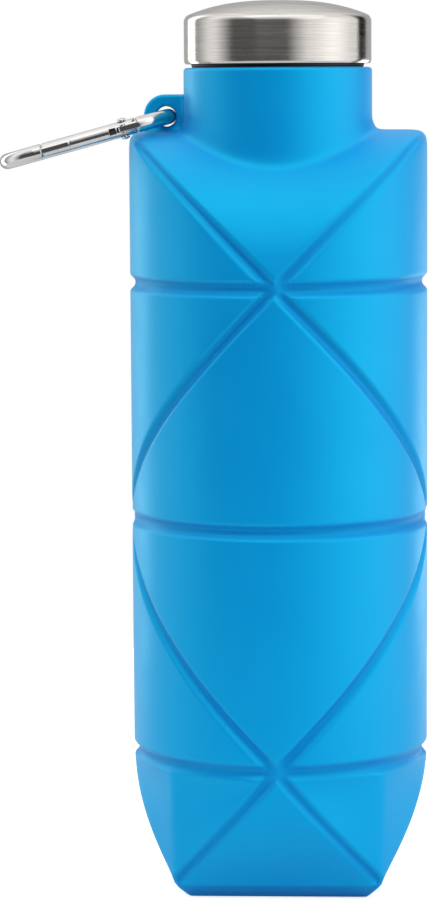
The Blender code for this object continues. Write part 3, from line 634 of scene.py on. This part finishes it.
def cap_skin():
    """Drawn steel cup: band with a curled rim, round top edge and a flat dome; then its inside."""
    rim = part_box("cap_shell")[0].z - CAP_RIM_DROP
    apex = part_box("cap_shell")[1].z
    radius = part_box("cap_shell")[1].x
    outer = cup_profile(radius, rim, apex, CAP_EDGE)
    inner = cup_profile(radius - CAP_SHEET, rim, apex - CAP_SHEET, CAP_EDGE - CAP_SHEET)
    low = np.clip(1 - (outer[:, 1] - rim) / CAP_RIM_REACH, 0, 1)
    outer[:, 0] -= CAP_RIM_CURL * low ** 2
    turn = np.linspace(-QUARTER_TURN, QUARTER_TURN, 7)[1:-1]
    half = (outer[-1, 0] - inner[-1, 0]) / 2
    roll = np.stack([inner[-1, 0] + half + half * np.sin(turn), rim + half * (1 - np.cos(turn))], axis=1)
    outer[-1, 1] = inner[-1, 1] = rim + half
    profile = np.concatenate([outer, roll[::-1], inner[::-1]])
    return closed_grid("steel_cap", turned(profile, CAP_COLUMNS), rows_wrap=False)


def cup_profile(radius, rim, apex, edge):
    """From the apex down a dome that drops by a power of the way out, an edge arc and the band."""
    tilt = math.atan(CAP_DOME_POWER * CAP_DOME_DROP / (radius - 0.6 * edge))
    centre_x = radius - edge
    start = centre_x + edge * math.sin(tilt)
    way = np.sin(np.linspace(0, QUARTER_TURN, 48))
    dome = np.stack([start * way, apex - CAP_DOME_DROP * way ** CAP_DOME_POWER], axis=1)
    turn = np.linspace(QUARTER_TURN - tilt, 0, 13)[1:]
    centre_z = apex - CAP_DOME_DROP - edge * math.cos(tilt)
    arc = np.stack([centre_x + edge * np.cos(turn), centre_z + edge * np.sin(turn)], axis=1)
    band = np.linspace(centre_z, rim, 36)[1:]
    return np.concatenate([dome, arc, np.stack([np.full(len(band), radius), band], axis=1)])


def liner_skin():
    """A plastic cup inside the steel one, threaded inside the lower part of its skirt."""
    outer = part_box("cap_liner")[1].x
    rim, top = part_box("cap_liner")[0].z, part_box("cap_liner")[1].z
    ceiling = top - LINER_TOP
    outside = rounded([(0, top), (outer, top), (outer, rim), (LINER_ROOT, rim)], 0.35 * MM, closed=False)
    climb = np.linspace(rim + 0.5 * MM, ceiling - 0.5 * MM, THREAD_ROWS)
    inside = rounded([(LINER_ROOT, ceiling), (0, ceiling)], 0.3 * MM, closed=False)
    thread = np.stack([np.full(len(climb), LINER_ROOT), climb], axis=1)
    profile = np.concatenate([outside, thread, inside])
    weight = np.zeros((len(profile), 1))
    share = np.linspace(0, 1, len(climb))
    thread_rows = slice(len(outside), len(outside) + len(climb))
    weight[thread_rows, 0] = np.clip(np.minimum(share, LINER_THREAD_SHARE - share) * 8, 0, 1)
    azimuth = azimuths(THREAD_COLUMNS)[None, :]
    radius = profile[:, :1] - weight * THREAD_RISE * thread_form(profile[:, 1:], azimuth, 0.5)
    return closed_grid("cap_liner_cup", around(radius, profile[:, 1:], azimuth), rows_wrap=False)


def seal_skin():
    """A flat ring turned from a small round-cornered rectangle."""
    low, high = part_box("cap_seal")
    corners = [(high.x - SEAL_WIDTH, low.z), (high.x, low.z), (high.x, high.z), (high.x - SEAL_WIDTH, high.z)]
    return closed_grid("seal_ring", turned(rounded(corners, 0.3 * MM), SEAL_COLUMNS), rows_wrap=True)


# Snap hook, worked out flat: x along it from the lug hole, y across it, z through the wire

def hook_place(points):
    """Points of the flat drawing moved to the hook's place at rest."""
    points = np.asarray(points, float)
    return (np.array(LUG_HOLE) + points[..., :1] * HOOK_ALONG + points[..., 1:2] * HOOK_ACROSS
            + points[..., 2:] * HOOK_THROUGH)


def wire_along(path, radius):
    """A round section carried along a flat path; radius may change from point to point."""
    path = np.asarray(path, float)
    ahead = np.pad(np.gradient(path[1:-1], axis=0), ((1, 1), (0, 0)), mode="edge")
    ahead /= np.linalg.norm(ahead, axis=1, keepdims=True)
    beside = np.stack([-ahead[:, 1], ahead[:, 0], 0 * ahead[:, 0]], axis=1)
    turn = azimuths(WIRE_SIDES)[None, :, None]
    radius = np.broadcast_to(radius, len(path))[:, None, None]
    upright = np.array([0.0, 0.0, 1.0])
    return path[:, None, :] + radius * (np.cos(turn) * beside[:, None, :] + np.sin(turn) * upright)


def rounded_bar(path, radius):
    """Path and radii of a bar whose two ends are turned in by a quarter arc."""
    path = np.asarray(path, float)
    turn = np.linspace(0, QUARTER_TURN, 5)
    first, last = path[0] - path[1], path[-1] - path[-2]
    first, last = first / np.linalg.norm(first), last / np.linalg.norm(last)
    head = path[0] + first * BAR_END_ROUND * (np.sin(turn[::-1])[:, None] - 1)
    tail = path[-1] + last * BAR_END_ROUND * (np.sin(turn)[:, None] - 1)
    body = path[1:-1]
    end_radii = radius - BAR_END_ROUND * (1 - np.cos(turn))
    middle = [head[:1], head, body, tail, tail[-1:]]
    radii = [[0.0], end_radii[::-1], np.full(len(body), radius), end_radii, [0.0]]
    return np.concatenate(middle), np.concatenate(radii)


def bend(centre_x, start, end):
    """Half-round end of the hook's outline, from one angle in degrees to another."""
    turn = np.radians(np.linspace(start, end, BEND_STEPS))
    along = centre_x + HOOK_HALF_WIDTH * np.cos(turn)
    return np.stack([along, HOOK_HALF_WIDTH * np.sin(turn), 0 * turn], axis=1)


def straight(start_x, end_x, across, steps):
    """A straight run of the hook, along it at one distance across."""
    along = np.linspace(start_x, end_x, steps)
    return np.stack([along, np.full(steps, across), 0 * along], axis=1)


def slab(name, centre, outline, low, high, edge):
    """A hook plate over an outline that each ray from its middle leaves once, with rounded edges."""
    centre, outline = np.asarray(centre, float), np.asarray(outline, float)
    reach = outline - centre
    reach_length = np.linalg.norm(reach, axis=1, keepdims=True)
    turn = np.linspace(0, QUARTER_TURN, 4)
    inset = np.concatenate([edge * (1 - np.sin(turn)), edge * (1 - np.sin(turn[::-1]))])
    level = np.concatenate([low + edge * (1 - np.cos(turn)), high - edge * (1 - np.cos(turn[::-1]))])
    shares = np.concatenate([[0, 0.6], np.ones(len(inset)), [0.6, 0]])
    inset = np.concatenate([[0, 0], inset, [0, 0]])
    level = np.concatenate([[low, low], level, [high, high]])
    flat = centre + reach * shares[:, None, None] * (1 - inset[:, None, None] / reach_length)
    grid = np.concatenate([flat, np.broadcast_to(level[:, None, None], (*flat.shape[:2], 1))], axis=-1)
    return closed_grid(name, hook_place(grid), rows_wrap=False)


def box_outline(low_x, high_x, low_y, high_y):
    """A rectangle's outline with points spread along its sides."""
    run = np.linspace(0, 1, OUTLINE_STEPS, endpoint=False)[:, None]
    corners = np.array([(low_x, low_y), (high_x, low_y), (high_x, high_y), (low_x, high_y)])
    return np.concatenate([a + (b - a) * run for a, b in zip(corners, np.roll(corners, -1, axis=0))])


def carved(piece, operation, *cutters, edge=0.12 * MM):
    """The piece cut by others with exact Booleans and bevelled, made one plain mesh again."""
    for cutter in cutters:
        step = piece.modifiers.new("carve", "BOOLEAN")
        step.operation, step.solver, step.object = operation, "EXACT", cutter
    soft = piece.modifiers.new("soft_edges", "BEVEL")
    soft.width, soft.segments, soft.limit_method, soft.angle_limit = edge, 2, "ANGLE", CARVED_SHARP_FROM
    made = bpy.data.meshes.new_from_object(piece.evaluated_get(bpy.context.evaluated_depsgraph_get()))
    piece.modifiers.clear()
    piece.data = made
    made.shade_smooth()
    made.set_sharp_from_angle(angle=CARVED_SHARP_FROM)
    for cutter in cutters:
        bpy.data.objects.remove(cutter, do_unlink=True)
    return piece


def hook_wire():
    """The bent bar: a short near end, the bend through the lug, the long side, far bend and nose."""
    stop = GATE_HEEL_X - SEAM
    first = 270 - math.degrees(math.asin((HOOK_HALF_WIDTH - stop) / HOOK_HALF_WIDTH))
    far = HOOK_LENGTH - HOOK_HALF_WIDTH
    path = np.concatenate([bend(HOOK_HALF_WIDTH, first, 90),
                           straight(HOOK_HALF_WIDTH, far, HOOK_HALF_WIDTH, 24)[1:-1], bend(far, 90, -90),
                           straight(far, NOSE_X, -HOOK_HALF_WIDTH, 4)[1:]])
    return closed_grid("hook_wire", hook_place(wire_along(*rounded_bar(path, WIRE_RADIUS))), rows_wrap=False)


def hinge_tongue():
    """The flattened end of the bar, round about the rivet, between the gate's two cheeks."""
    turn = np.radians(np.linspace(-90, 90, 15))
    end_across = TONGUE_RADIUS * np.sin(turn) - HOOK_HALF_WIDTH
    round_end = np.stack([HINGE_X + TONGUE_RADIUS * np.cos(turn), end_across], axis=1)
    back_across = np.linspace(TONGUE_RADIUS, -TONGUE_RADIUS, 9) - HOOK_HALF_WIDTH
    back = np.stack([np.full(9, GATE_HEEL_X - 1.0 * MM), back_across], axis=1)
    outline = np.concatenate([round_end, back])
    return slab("hinge_tongue", (HINGE_X - 1.0 * MM, -HOOK_HALF_WIDTH), outline, -TONGUE_HALF_THICKNESS,
                TONGUE_HALF_THICKNESS, BLADE_EDGE)


def nose_blade():
    """The flat end of the nose, which reaches into the gate's slot."""
    outline = box_outline(NOSE_SLOT_X + 0.6 * MM, NOSE_X + 1.0 * MM, -HOOK_HALF_WIDTH - NOSE_BLADE_HALF_WIDTH,
                          -HOOK_HALF_WIDTH + NOSE_BLADE_HALF_WIDTH)
    middle = ((NOSE_SLOT_X + NOSE_X) / 2, -HOOK_HALF_WIDTH)
    return slab("nose_blade", middle, outline, -NOSE_BLADE_HALF_THICKNESS, NOSE_BLADE_HALF_THICKNESS,
                BLADE_EDGE)


def slot_cutter(low_x, high_x, half):
    """A block that cuts a slot of twice the half thickness through the gate."""
    outline = box_outline(low_x, high_x, -HOOK_HALF_WIDTH - 4 * MM, -HOOK_HALF_WIDTH + 4 * MM)
    middle = ((low_x + high_x) / 2, -HOOK_HALF_WIDTH)
    return slab("slot_cutter", middle, outline, -half, half, CUTTER_EDGE)


def gate_bar():
    """A round bar with a round heel, slotted for the tongue and for the nose blade."""
    path = straight(GATE_HEEL_X - 1 * MM, GATE_END_X, -HOOK_HALF_WIDTH, 40)
    bar = closed_grid("gate_bar", hook_place(wire_along(*rounded_bar(path, WIRE_RADIUS))), rows_wrap=False)
    turn = np.radians(np.linspace(90, 270, 25))
    centre_x = GATE_HEEL_X + WIRE_RADIUS
    heel_across = WIRE_RADIUS * np.sin(turn) - HOOK_HALF_WIDTH
    heel = np.stack([centre_x + WIRE_RADIUS * np.cos(turn), heel_across], axis=1)
    wide, end = 2 * WIRE_RADIUS, GATE_END_X + 2 * MM
    front = np.array([(end, -HOOK_HALF_WIDTH - wide), (end, -HOOK_HALF_WIDTH + wide)])
    sides = np.array([(centre_x, -HOOK_HALF_WIDTH - wide)]), np.array([(centre_x, -HOOK_HALF_WIDTH + wide)])
    outline = np.concatenate([heel, sides[0], front, sides[1]])
    middle = (centre_x + 4 * MM, -HOOK_HALF_WIDTH)
    keep = slab("heel_cutter", middle, outline, -wide, wide, CUTTER_EDGE)
    carved(bar, "INTERSECT", keep, edge=0.05 * MM)
    return carved(bar, "DIFFERENCE", slot_cutter(GATE_HEEL_X - 4 * MM, HINGE_SLOT_END_X, HINGE_SLOT_HALF),
                  slot_cutter(NOSE_SLOT_X, GATE_END_X + 4 * MM, NOSE_SLOT_HALF))


def rivet_skin():
    """A pin with two low domed heads, turned about the gate's axis."""
    turn = np.linspace(0, QUARTER_TURN, 7)
    dome = RIVET_SEAT + (RIVET_TOP - RIVET_SEAT) * np.cos(turn)
    upper = np.stack([RIVET_HEAD_RADIUS * np.sin(turn), dome], axis=1)
    shank = np.array([(RIVET_HEAD_RADIUS, RIVET_SEAT - 0.02 * MM), (RIVET_RADIUS, RIVET_SEAT - 0.05 * MM),
                      (RIVET_RADIUS, 0.0)])
    half = np.concatenate([upper, shank])
    profile = np.concatenate([half, (half * (1, -1))[::-1][1:]])
    grid = turned(profile, 40) + np.array([HINGE_X, -HOOK_HALF_WIDTH, 0.0])
    return closed_grid("rivet", hook_place(grid), rows_wrap=False)


# Materials

def material(name, colour, roughness, metallic=0.0, specular=0.5):
    """A Principled material with its constant values set on the shader itself."""
    made = bpy.data.materials.new(name)
    made.use_nodes = True
    shader = made.node_tree.nodes["Principled BSDF"]
    shader.inputs["Base Color"].default_value = (*colour, 1)
    shader.inputs["Roughness"].default_value = roughness
    shader.inputs["Metallic"].default_value = metallic
    shader.inputs["Specular IOR Level"].default_value = specular
    return made


class Wiring:
    """Short calls to add and join nodes in one material or world."""

    def __init__(self, owner):
        self.tree = owner.node_tree
        self.place = None

    def node(self, kind, **settings):
        made = self.tree.nodes.new(kind)
        for key, value in settings.items():
            setattr(made, key, value)
        return made

    def join(self, out, into):
        self.tree.links.new(out, into)

    def coordinates(self, scale):
        """Object coordinates in metres, stretched by a scale."""
        if self.place is None:
            self.place = self.node("ShaderNodeTexCoord").outputs["Object"]
        mapping = self.node("ShaderNodeMapping")
        mapping.inputs["Scale"].default_value = scale
        self.join(self.place, mapping.inputs["Vector"])
        return mapping.outputs["Vector"]

    def noise(self, scale, detail, roughness=0.5, stretch=(1, 1, 1)):
        made = self.node("ShaderNodeTexNoise")
        made.inputs["Scale"].default_value = scale
        made.inputs["Detail"].default_value = detail
        made.inputs["Roughness"].default_value = roughness
        self.join(self.coordinates(stretch), made.inputs["Vector"])
        return made.outputs["Fac"]

    def ramp(self, value, low, high, to_low=0.0, to_high=1.0):
        """A value moved from one range to another and kept inside it."""
        made = self.node("ShaderNodeMapRange")
        for key, number in zip(("From Min", "From Max", "To Min", "To Max"), (low, high, to_low, to_high)):
            made.inputs[key].default_value = number
        self.join(value, made.inputs["Value"])
        return made.outputs["Result"]

    def sums(self, operation, first, second):
        made = self.node("ShaderNodeMath", operation=operation)
        for socket, value in zip(made.inputs, (first, second)):
            if isinstance(value, (int, float)):
                socket.default_value = value
            else:
                self.join(value, socket)
        return made.outputs[0]

    def blend(self, share, first, second):
        """The first colour mixed with the second by share."""
        made = self.node("ShaderNodeMix", data_type="RGBA")
        for socket, value in ((made.inputs[0], share), (made.inputs[6], first), (made.inputs[7], second)):
            if isinstance(value, tuple):
                socket.default_value = (*value, 1)
            elif isinstance(value, (int, float)):
                socket.default_value = value
            else:
                self.join(value, socket)
        return made.outputs[2]

    def bump(self, height, distance, strength, under=None):
        made = self.node("ShaderNodeBump")
        made.inputs["Strength"].default_value = strength
        made.inputs["Distance"].default_value = distance
        self.join(height, made.inputs["Height"])
        if under is not None:
            self.join(under, made.inputs["Normal"])
        return made.outputs["Normal"]

    def mark(self, name):
        return self.node("ShaderNodeAttribute", attribute_name=name).outputs["Fac"]


def silicone_material():
    """Matte blue silicone: faint cloudiness, pale dust specks, and painted shade: a deeper blue in the
    grooves and on the foot's underside and chamfer.
    """
    made = material("blue_silicone", SILICONE, 0.45, specular=1.0)
    shader = made.node_tree.nodes["Principled BSDF"]
    shader.inputs["IOR"].default_value = 1.85
    shader.inputs["Specular Tint"].default_value = (0.03, 1.0, 1.0, 1)
    shader.inputs["Sheen Weight"].default_value = 0.2
    shader.inputs["Sheen Roughness"].default_value = 0.3
    shader.inputs["Sheen Tint"].default_value = (0.9, 1.0, 1.0, 1)
    w = Wiring(made)
    cloud = w.ramp(w.noise(28, 3), 0.3, 0.7)
    tone = w.blend(w.sums("MULTIPLY", cloud, 0.1), SILICONE, SILICONE_DEEP)
    # Painted shade: the skins' mark deepens the blue in the grooves and on the foot's underside and chamfer
    grooves = w.mark("painted_shade_mask")
    shade = w.sums("MULTIPLY", w.sums("POWER", grooves, 0.7), 0.85)
    tone = w.blend(shade, tone, SILICONE_DEEP)
    specks = w.ramp(w.noise(2100, 1), 0.74, 0.80)
    tone = w.blend(w.sums("MULTIPLY", specks, 0.22), tone, (0.12, 0.5, 0.8))
    w.join(tone, shader.inputs["Base Color"])
    patch = w.ramp(w.noise(70, 4), 0.3, 0.7, 0.40, 0.48)
    rough = w.sums("ADD", patch, w.sums("MULTIPLY", grooves, 0.08))
    w.join(rough, shader.inputs["Roughness"])
    fine = w.bump(w.noise(1500, 3), 0.00002, 0.5)
    w.join(w.bump(w.noise(90, 2), 0.0002, 0.35, under=fine), shader.inputs["Normal"])
    return made


def brushed_material():
    """Steel with fine turning lines, round the band and as rings on the dome, worn spots and scratches."""
    made = material("brushed_cap_steel", (0.60, 0.57, 0.53), 0.2, metallic=1.0)
    shader = made.node_tree.nodes["Principled BSDF"]
    w = Wiring(made)
    shader.inputs["Anisotropic"].default_value = 0.75
    shader.inputs["Anisotropic Rotation"].default_value = 0.25
    tangent = w.node("ShaderNodeTangent", direction_type="RADIAL", axis="Z")
    w.join(tangent.outputs[0], shader.inputs["Tangent"])
    lines = w.noise(60, 4, 0.7, stretch=(1, 1, 90))
    tone = w.blend(w.ramp(lines, 0.3, 0.7), (0.49, 0.465, 0.44), (0.70, 0.665, 0.625))
    worn = w.ramp(w.noise(170, 5, 0.7), 0.35, 0.75, 0.0, 0.3)
    tone = w.blend(worn, tone, (0.60, 0.59, 0.58))
    scratch = w.ramp(w.noise(420, 2, 0.5, stretch=(1, 1, 0.12)), 0.70, 0.73, 0.0, 0.35)
    tone = w.blend(scratch, tone, (0.38, 0.36, 0.34))
    w.join(tone, shader.inputs["Base Color"])
    w.join(w.ramp(w.noise(45, 3, stretch=(1, 1, 30)), 0.3, 0.7, 0.15, 0.22), shader.inputs["Roughness"])
    w.join(w.bump(lines, 0.00003, 0.4), shader.inputs["Normal"])
    return made


def chrome_material():
    """Polished plating: two near greys, patchy gloss and a faint ripple."""
    made = material("polished_chrome", (0.62, 0.61, 0.60), 0.07, metallic=1.0)
    shader = made.node_tree.nodes["Principled BSDF"]
    w = Wiring(made)
    w.join(w.ramp(w.noise(300, 3), 0.35, 0.75, 0.05, 0.13), shader.inputs["Roughness"])
    w.join(w.blend(w.ramp(w.noise(120, 3), 0.4, 0.8), (0.64, 0.63, 0.62), (0.54, 0.53, 0.52)),
           shader.inputs["Base Color"])
    w.join(w.bump(w.noise(500, 2), 0.00001, 0.3), shader.inputs["Normal"])
    return made


def plain_material(name, colour, other, roughness, metallic=0.0):
    """Moulded plastic, rubber or drawn wire: two near tones, patchy gloss and a fine grain."""
    made = material(name, colour, roughness, metallic=metallic)
    shader = made.node_tree.nodes["Principled BSDF"]
    w = Wiring(made)
    w.join(w.blend(w.ramp(w.noise(160, 3), 0.3, 0.7), colour, other), shader.inputs["Base Color"])
    w.join(w.ramp(w.noise(120, 3), 0.3, 0.7, roughness - 0.05, roughness + 0.06), shader.inputs["Roughness"])
    w.join(w.bump(w.noise(900, 2), 0.00003, 0.4), shader.inputs["Normal"])
    return made


# Stage, light and camera

def stage_floor():
    """A pale round table top: lit white, with a share of its own white light to the camera."""
    made = material("pale_floor", (0.78, 0.78, 0.78), 0.7, specular=0.1)
    shader = made.node_tree.nodes["Principled BSDF"]
    w = Wiring(made)
    path = w.node("ShaderNodeLightPath")
    w.join(w.sums("MULTIPLY", path.outputs["Is Camera Ray"], FLOOR_GLOW), shader.inputs["Emission Strength"])
    shader.inputs["Emission Color"].default_value = (1, 1, 1, 1)
    edge = around(FLOOR_RADIUS, -0.0002, azimuths(96)[None, :])[0]
    mesh = bpy.data.meshes.new("floor")
    mesh.from_pydata(edge.tolist(), [], [list(range(len(edge)))])
    floor = bpy.data.objects.new("floor", mesh)
    bpy.context.scene.collection.objects.link(floor)
    mesh.materials.append(made)


def studio_world():
    """White to the camera. For the rest a room whose walls change round the compass, and a ceiling."""
    world = bpy.data.worlds.new("studio")
    world.use_nodes = True
    bpy.context.scene.world = world
    w = Wiring(world)
    back = world.node_tree.nodes["Background"]
    split = w.node("ShaderNodeSeparateXYZ")
    w.join(w.node("ShaderNodeTexCoord").outputs["Generated"], split.inputs[0])
    east, north, up = split.outputs
    compass = w.sums("ARCTAN2", east, w.sums("MULTIPLY", north, -1.0))
    walls = w.node("ShaderNodeValToRGB")
    w.join(w.ramp(compass, -math.pi, math.pi), walls.inputs["Fac"])
    stops = walls.color_ramp.elements
    while len(stops) < 2 * len(ROOM_PANELS):
        stops.new(1.0)
    for index, (_, start, end, brightness) in enumerate(ROOM_PANELS):
        for stop, azimuth in ((stops[2 * index], start), (stops[2 * index + 1], end)):
            stop.position = azimuth / 360 + 0.5
            stop.color = (*[brightness / ROOM_BRIGHTEST] * 3, 1)
    high = w.ramp(up, *ROOM_CEILING_RANGE)
    room = w.blend(high, walls.outputs["Color"], (ROOM_CEILING / ROOM_BRIGHTEST,) * 3)
    path = w.node("ShaderNodeLightPath")
    seen = w.sums("MAXIMUM", path.outputs["Is Camera Ray"], path.outputs["Is Transmission Ray"])
    w.join(w.blend(seen, room, (1 / ROOM_BRIGHTEST,) * 3), back.inputs["Color"])
    back.inputs["Strength"].default_value = ROOM_BRIGHTEST


def softbox(name, azimuth, elevation, distance, width, height, power):
    """An area lamp turned to the bottle, placed by its azimuth from the camera's side."""
    lamp = bpy.data.lights.new(name, "AREA")
    lamp.shape, lamp.size, lamp.size_y, lamp.energy = "RECTANGLE", width, height, power
    box = bpy.data.objects.new(name, lamp)
    bpy.context.scene.collection.objects.link(box)
    turn, rise = math.radians(azimuth), math.radians(elevation)
    outward = Vector((math.sin(turn) * math.cos(rise), -math.cos(turn) * math.cos(rise), math.sin(rise)))
    box.location = LAMP_AIM + distance * outward
    box.rotation_euler = (LAMP_AIM - box.location).to_track_quat("-Z", "Y").to_euler()


def photo_camera():
    """The photograph's view: a long lens, a little right of the front, turned a little down and left."""
    lens = bpy.data.cameras.new("photo_camera")
    lens.lens, lens.sensor_width, lens.sensor_fit = CAMERA_LENS, 36.0, "AUTO"
    camera = bpy.data.objects.new("photo_camera", lens)
    bpy.context.scene.collection.objects.link(camera)
    camera.location = (CAMERA_SIDE, -CAMERA_DISTANCE, CAMERA_HEIGHT)
    turn = Matrix.Rotation(math.radians(CAMERA_YAW), 4, "Z")
    tilt = Matrix.Rotation(math.radians(90 - CAMERA_PITCH), 4, "X")
    roll = Matrix.Rotation(math.radians(CAMERA_ROLL), 4, "Z")
    camera.rotation_euler = (turn @ tilt @ roll).to_euler()
    bpy.context.scene.camera = camera


def dress(piece, finish, body, replaced=()):
    """Give a piece its one material, the body that it rides on and what it replaces."""
    piece.data.materials.clear()
    piece.data.materials.append(finish)
    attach(piece, body)
    if replaced:
        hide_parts(*replaced)


def build():
    silicone = silicone_material()
    steel, chrome = brushed_material(), chrome_material()
    plastic = plain_material("black_ring_plastic", (0.006, 0.007, 0.009), (0.011, 0.012, 0.014), 0.5)
    rubber = plain_material("seal_silicone", (0.72, 0.73, 0.73), (0.66, 0.67, 0.67), 0.5)
    wire = plain_material("spring_wire", (0.4, 0.4, 0.41), (0.3, 0.3, 0.31), 0.3, metallic=1.0)
    # The plunger is painted near black to stand for the shade inside the gate's slot, not for its steel
    # colour
    plunger_painted_shade = plain_material("plunger_painted_shade_black", (0.03, 0.03, 0.032), (0.05, 0.05, 0.052), 0.35,
                                metallic=1.0)
    dress(foot_skin(), silicone, "base", ["base_section"])
    lower = fold_skin("silicone_lower_fold", LOW_RING_Z, True)
    upper = fold_skin("silicone_upper_fold", MIDDLE_RING_Z, False)
    for skin, body, node, joint, anchor in (
            (lower, "base", "lower_fold_section", "lower_fold", LOW_RING_Z),
            (upper, "middle", "upper_fold_section", "upper_fold", MIDDLE_RING_Z)):
        dress(skin, silicone, body, [node])
        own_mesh(skin)
    dress(shoulder_skin(), silicone, "top", ["shoulder_and_neck"])
    dress(lug_skin(), silicone, "top")
    dress(neck_ring_skin(), plastic, "top", ["neck_thread_ring"])
    dress(cap_skin(), steel, "cap", ["cap_shell"])
    dress(liner_skin(), plastic, "cap", ["cap_liner"])
    dress(seal_skin(), rubber, "cap_lifter", ["cap_seal"])
    dress(hook_wire(), chrome, "hook", ["carabiner_frame"])
    dress(hinge_tongue(), chrome, "hook")
    dress(nose_blade(), chrome, "hook")
    dress(gate_bar(), chrome, "gate", ["carabiner_gate"])
    dress(rivet_skin(), chrome, "hook", ["gate_rivet"])
    # The plunger gets the near-black painted shade, the spring its wire finish
    for node, finish in (("gate_plunger", plunger_painted_shade), ("gate_spring", wire)):
        for slot in frame["nodes"][node].material_slots:
            slot.material = finish


bpy.context.scene.view_settings.view_transform = "Standard"
photo_camera()
studio_world()
stage_floor()
softbox("left_fill", -64, 48, 1.1, 1.3, 1.3, 1.2)
softbox("right_rim", 142, -13, 1.1, 0.5, 0.5, 1.6)
softbox("top_softbox", 14, 46, 1.1, 1.8, 1.3, 3.5)
build()
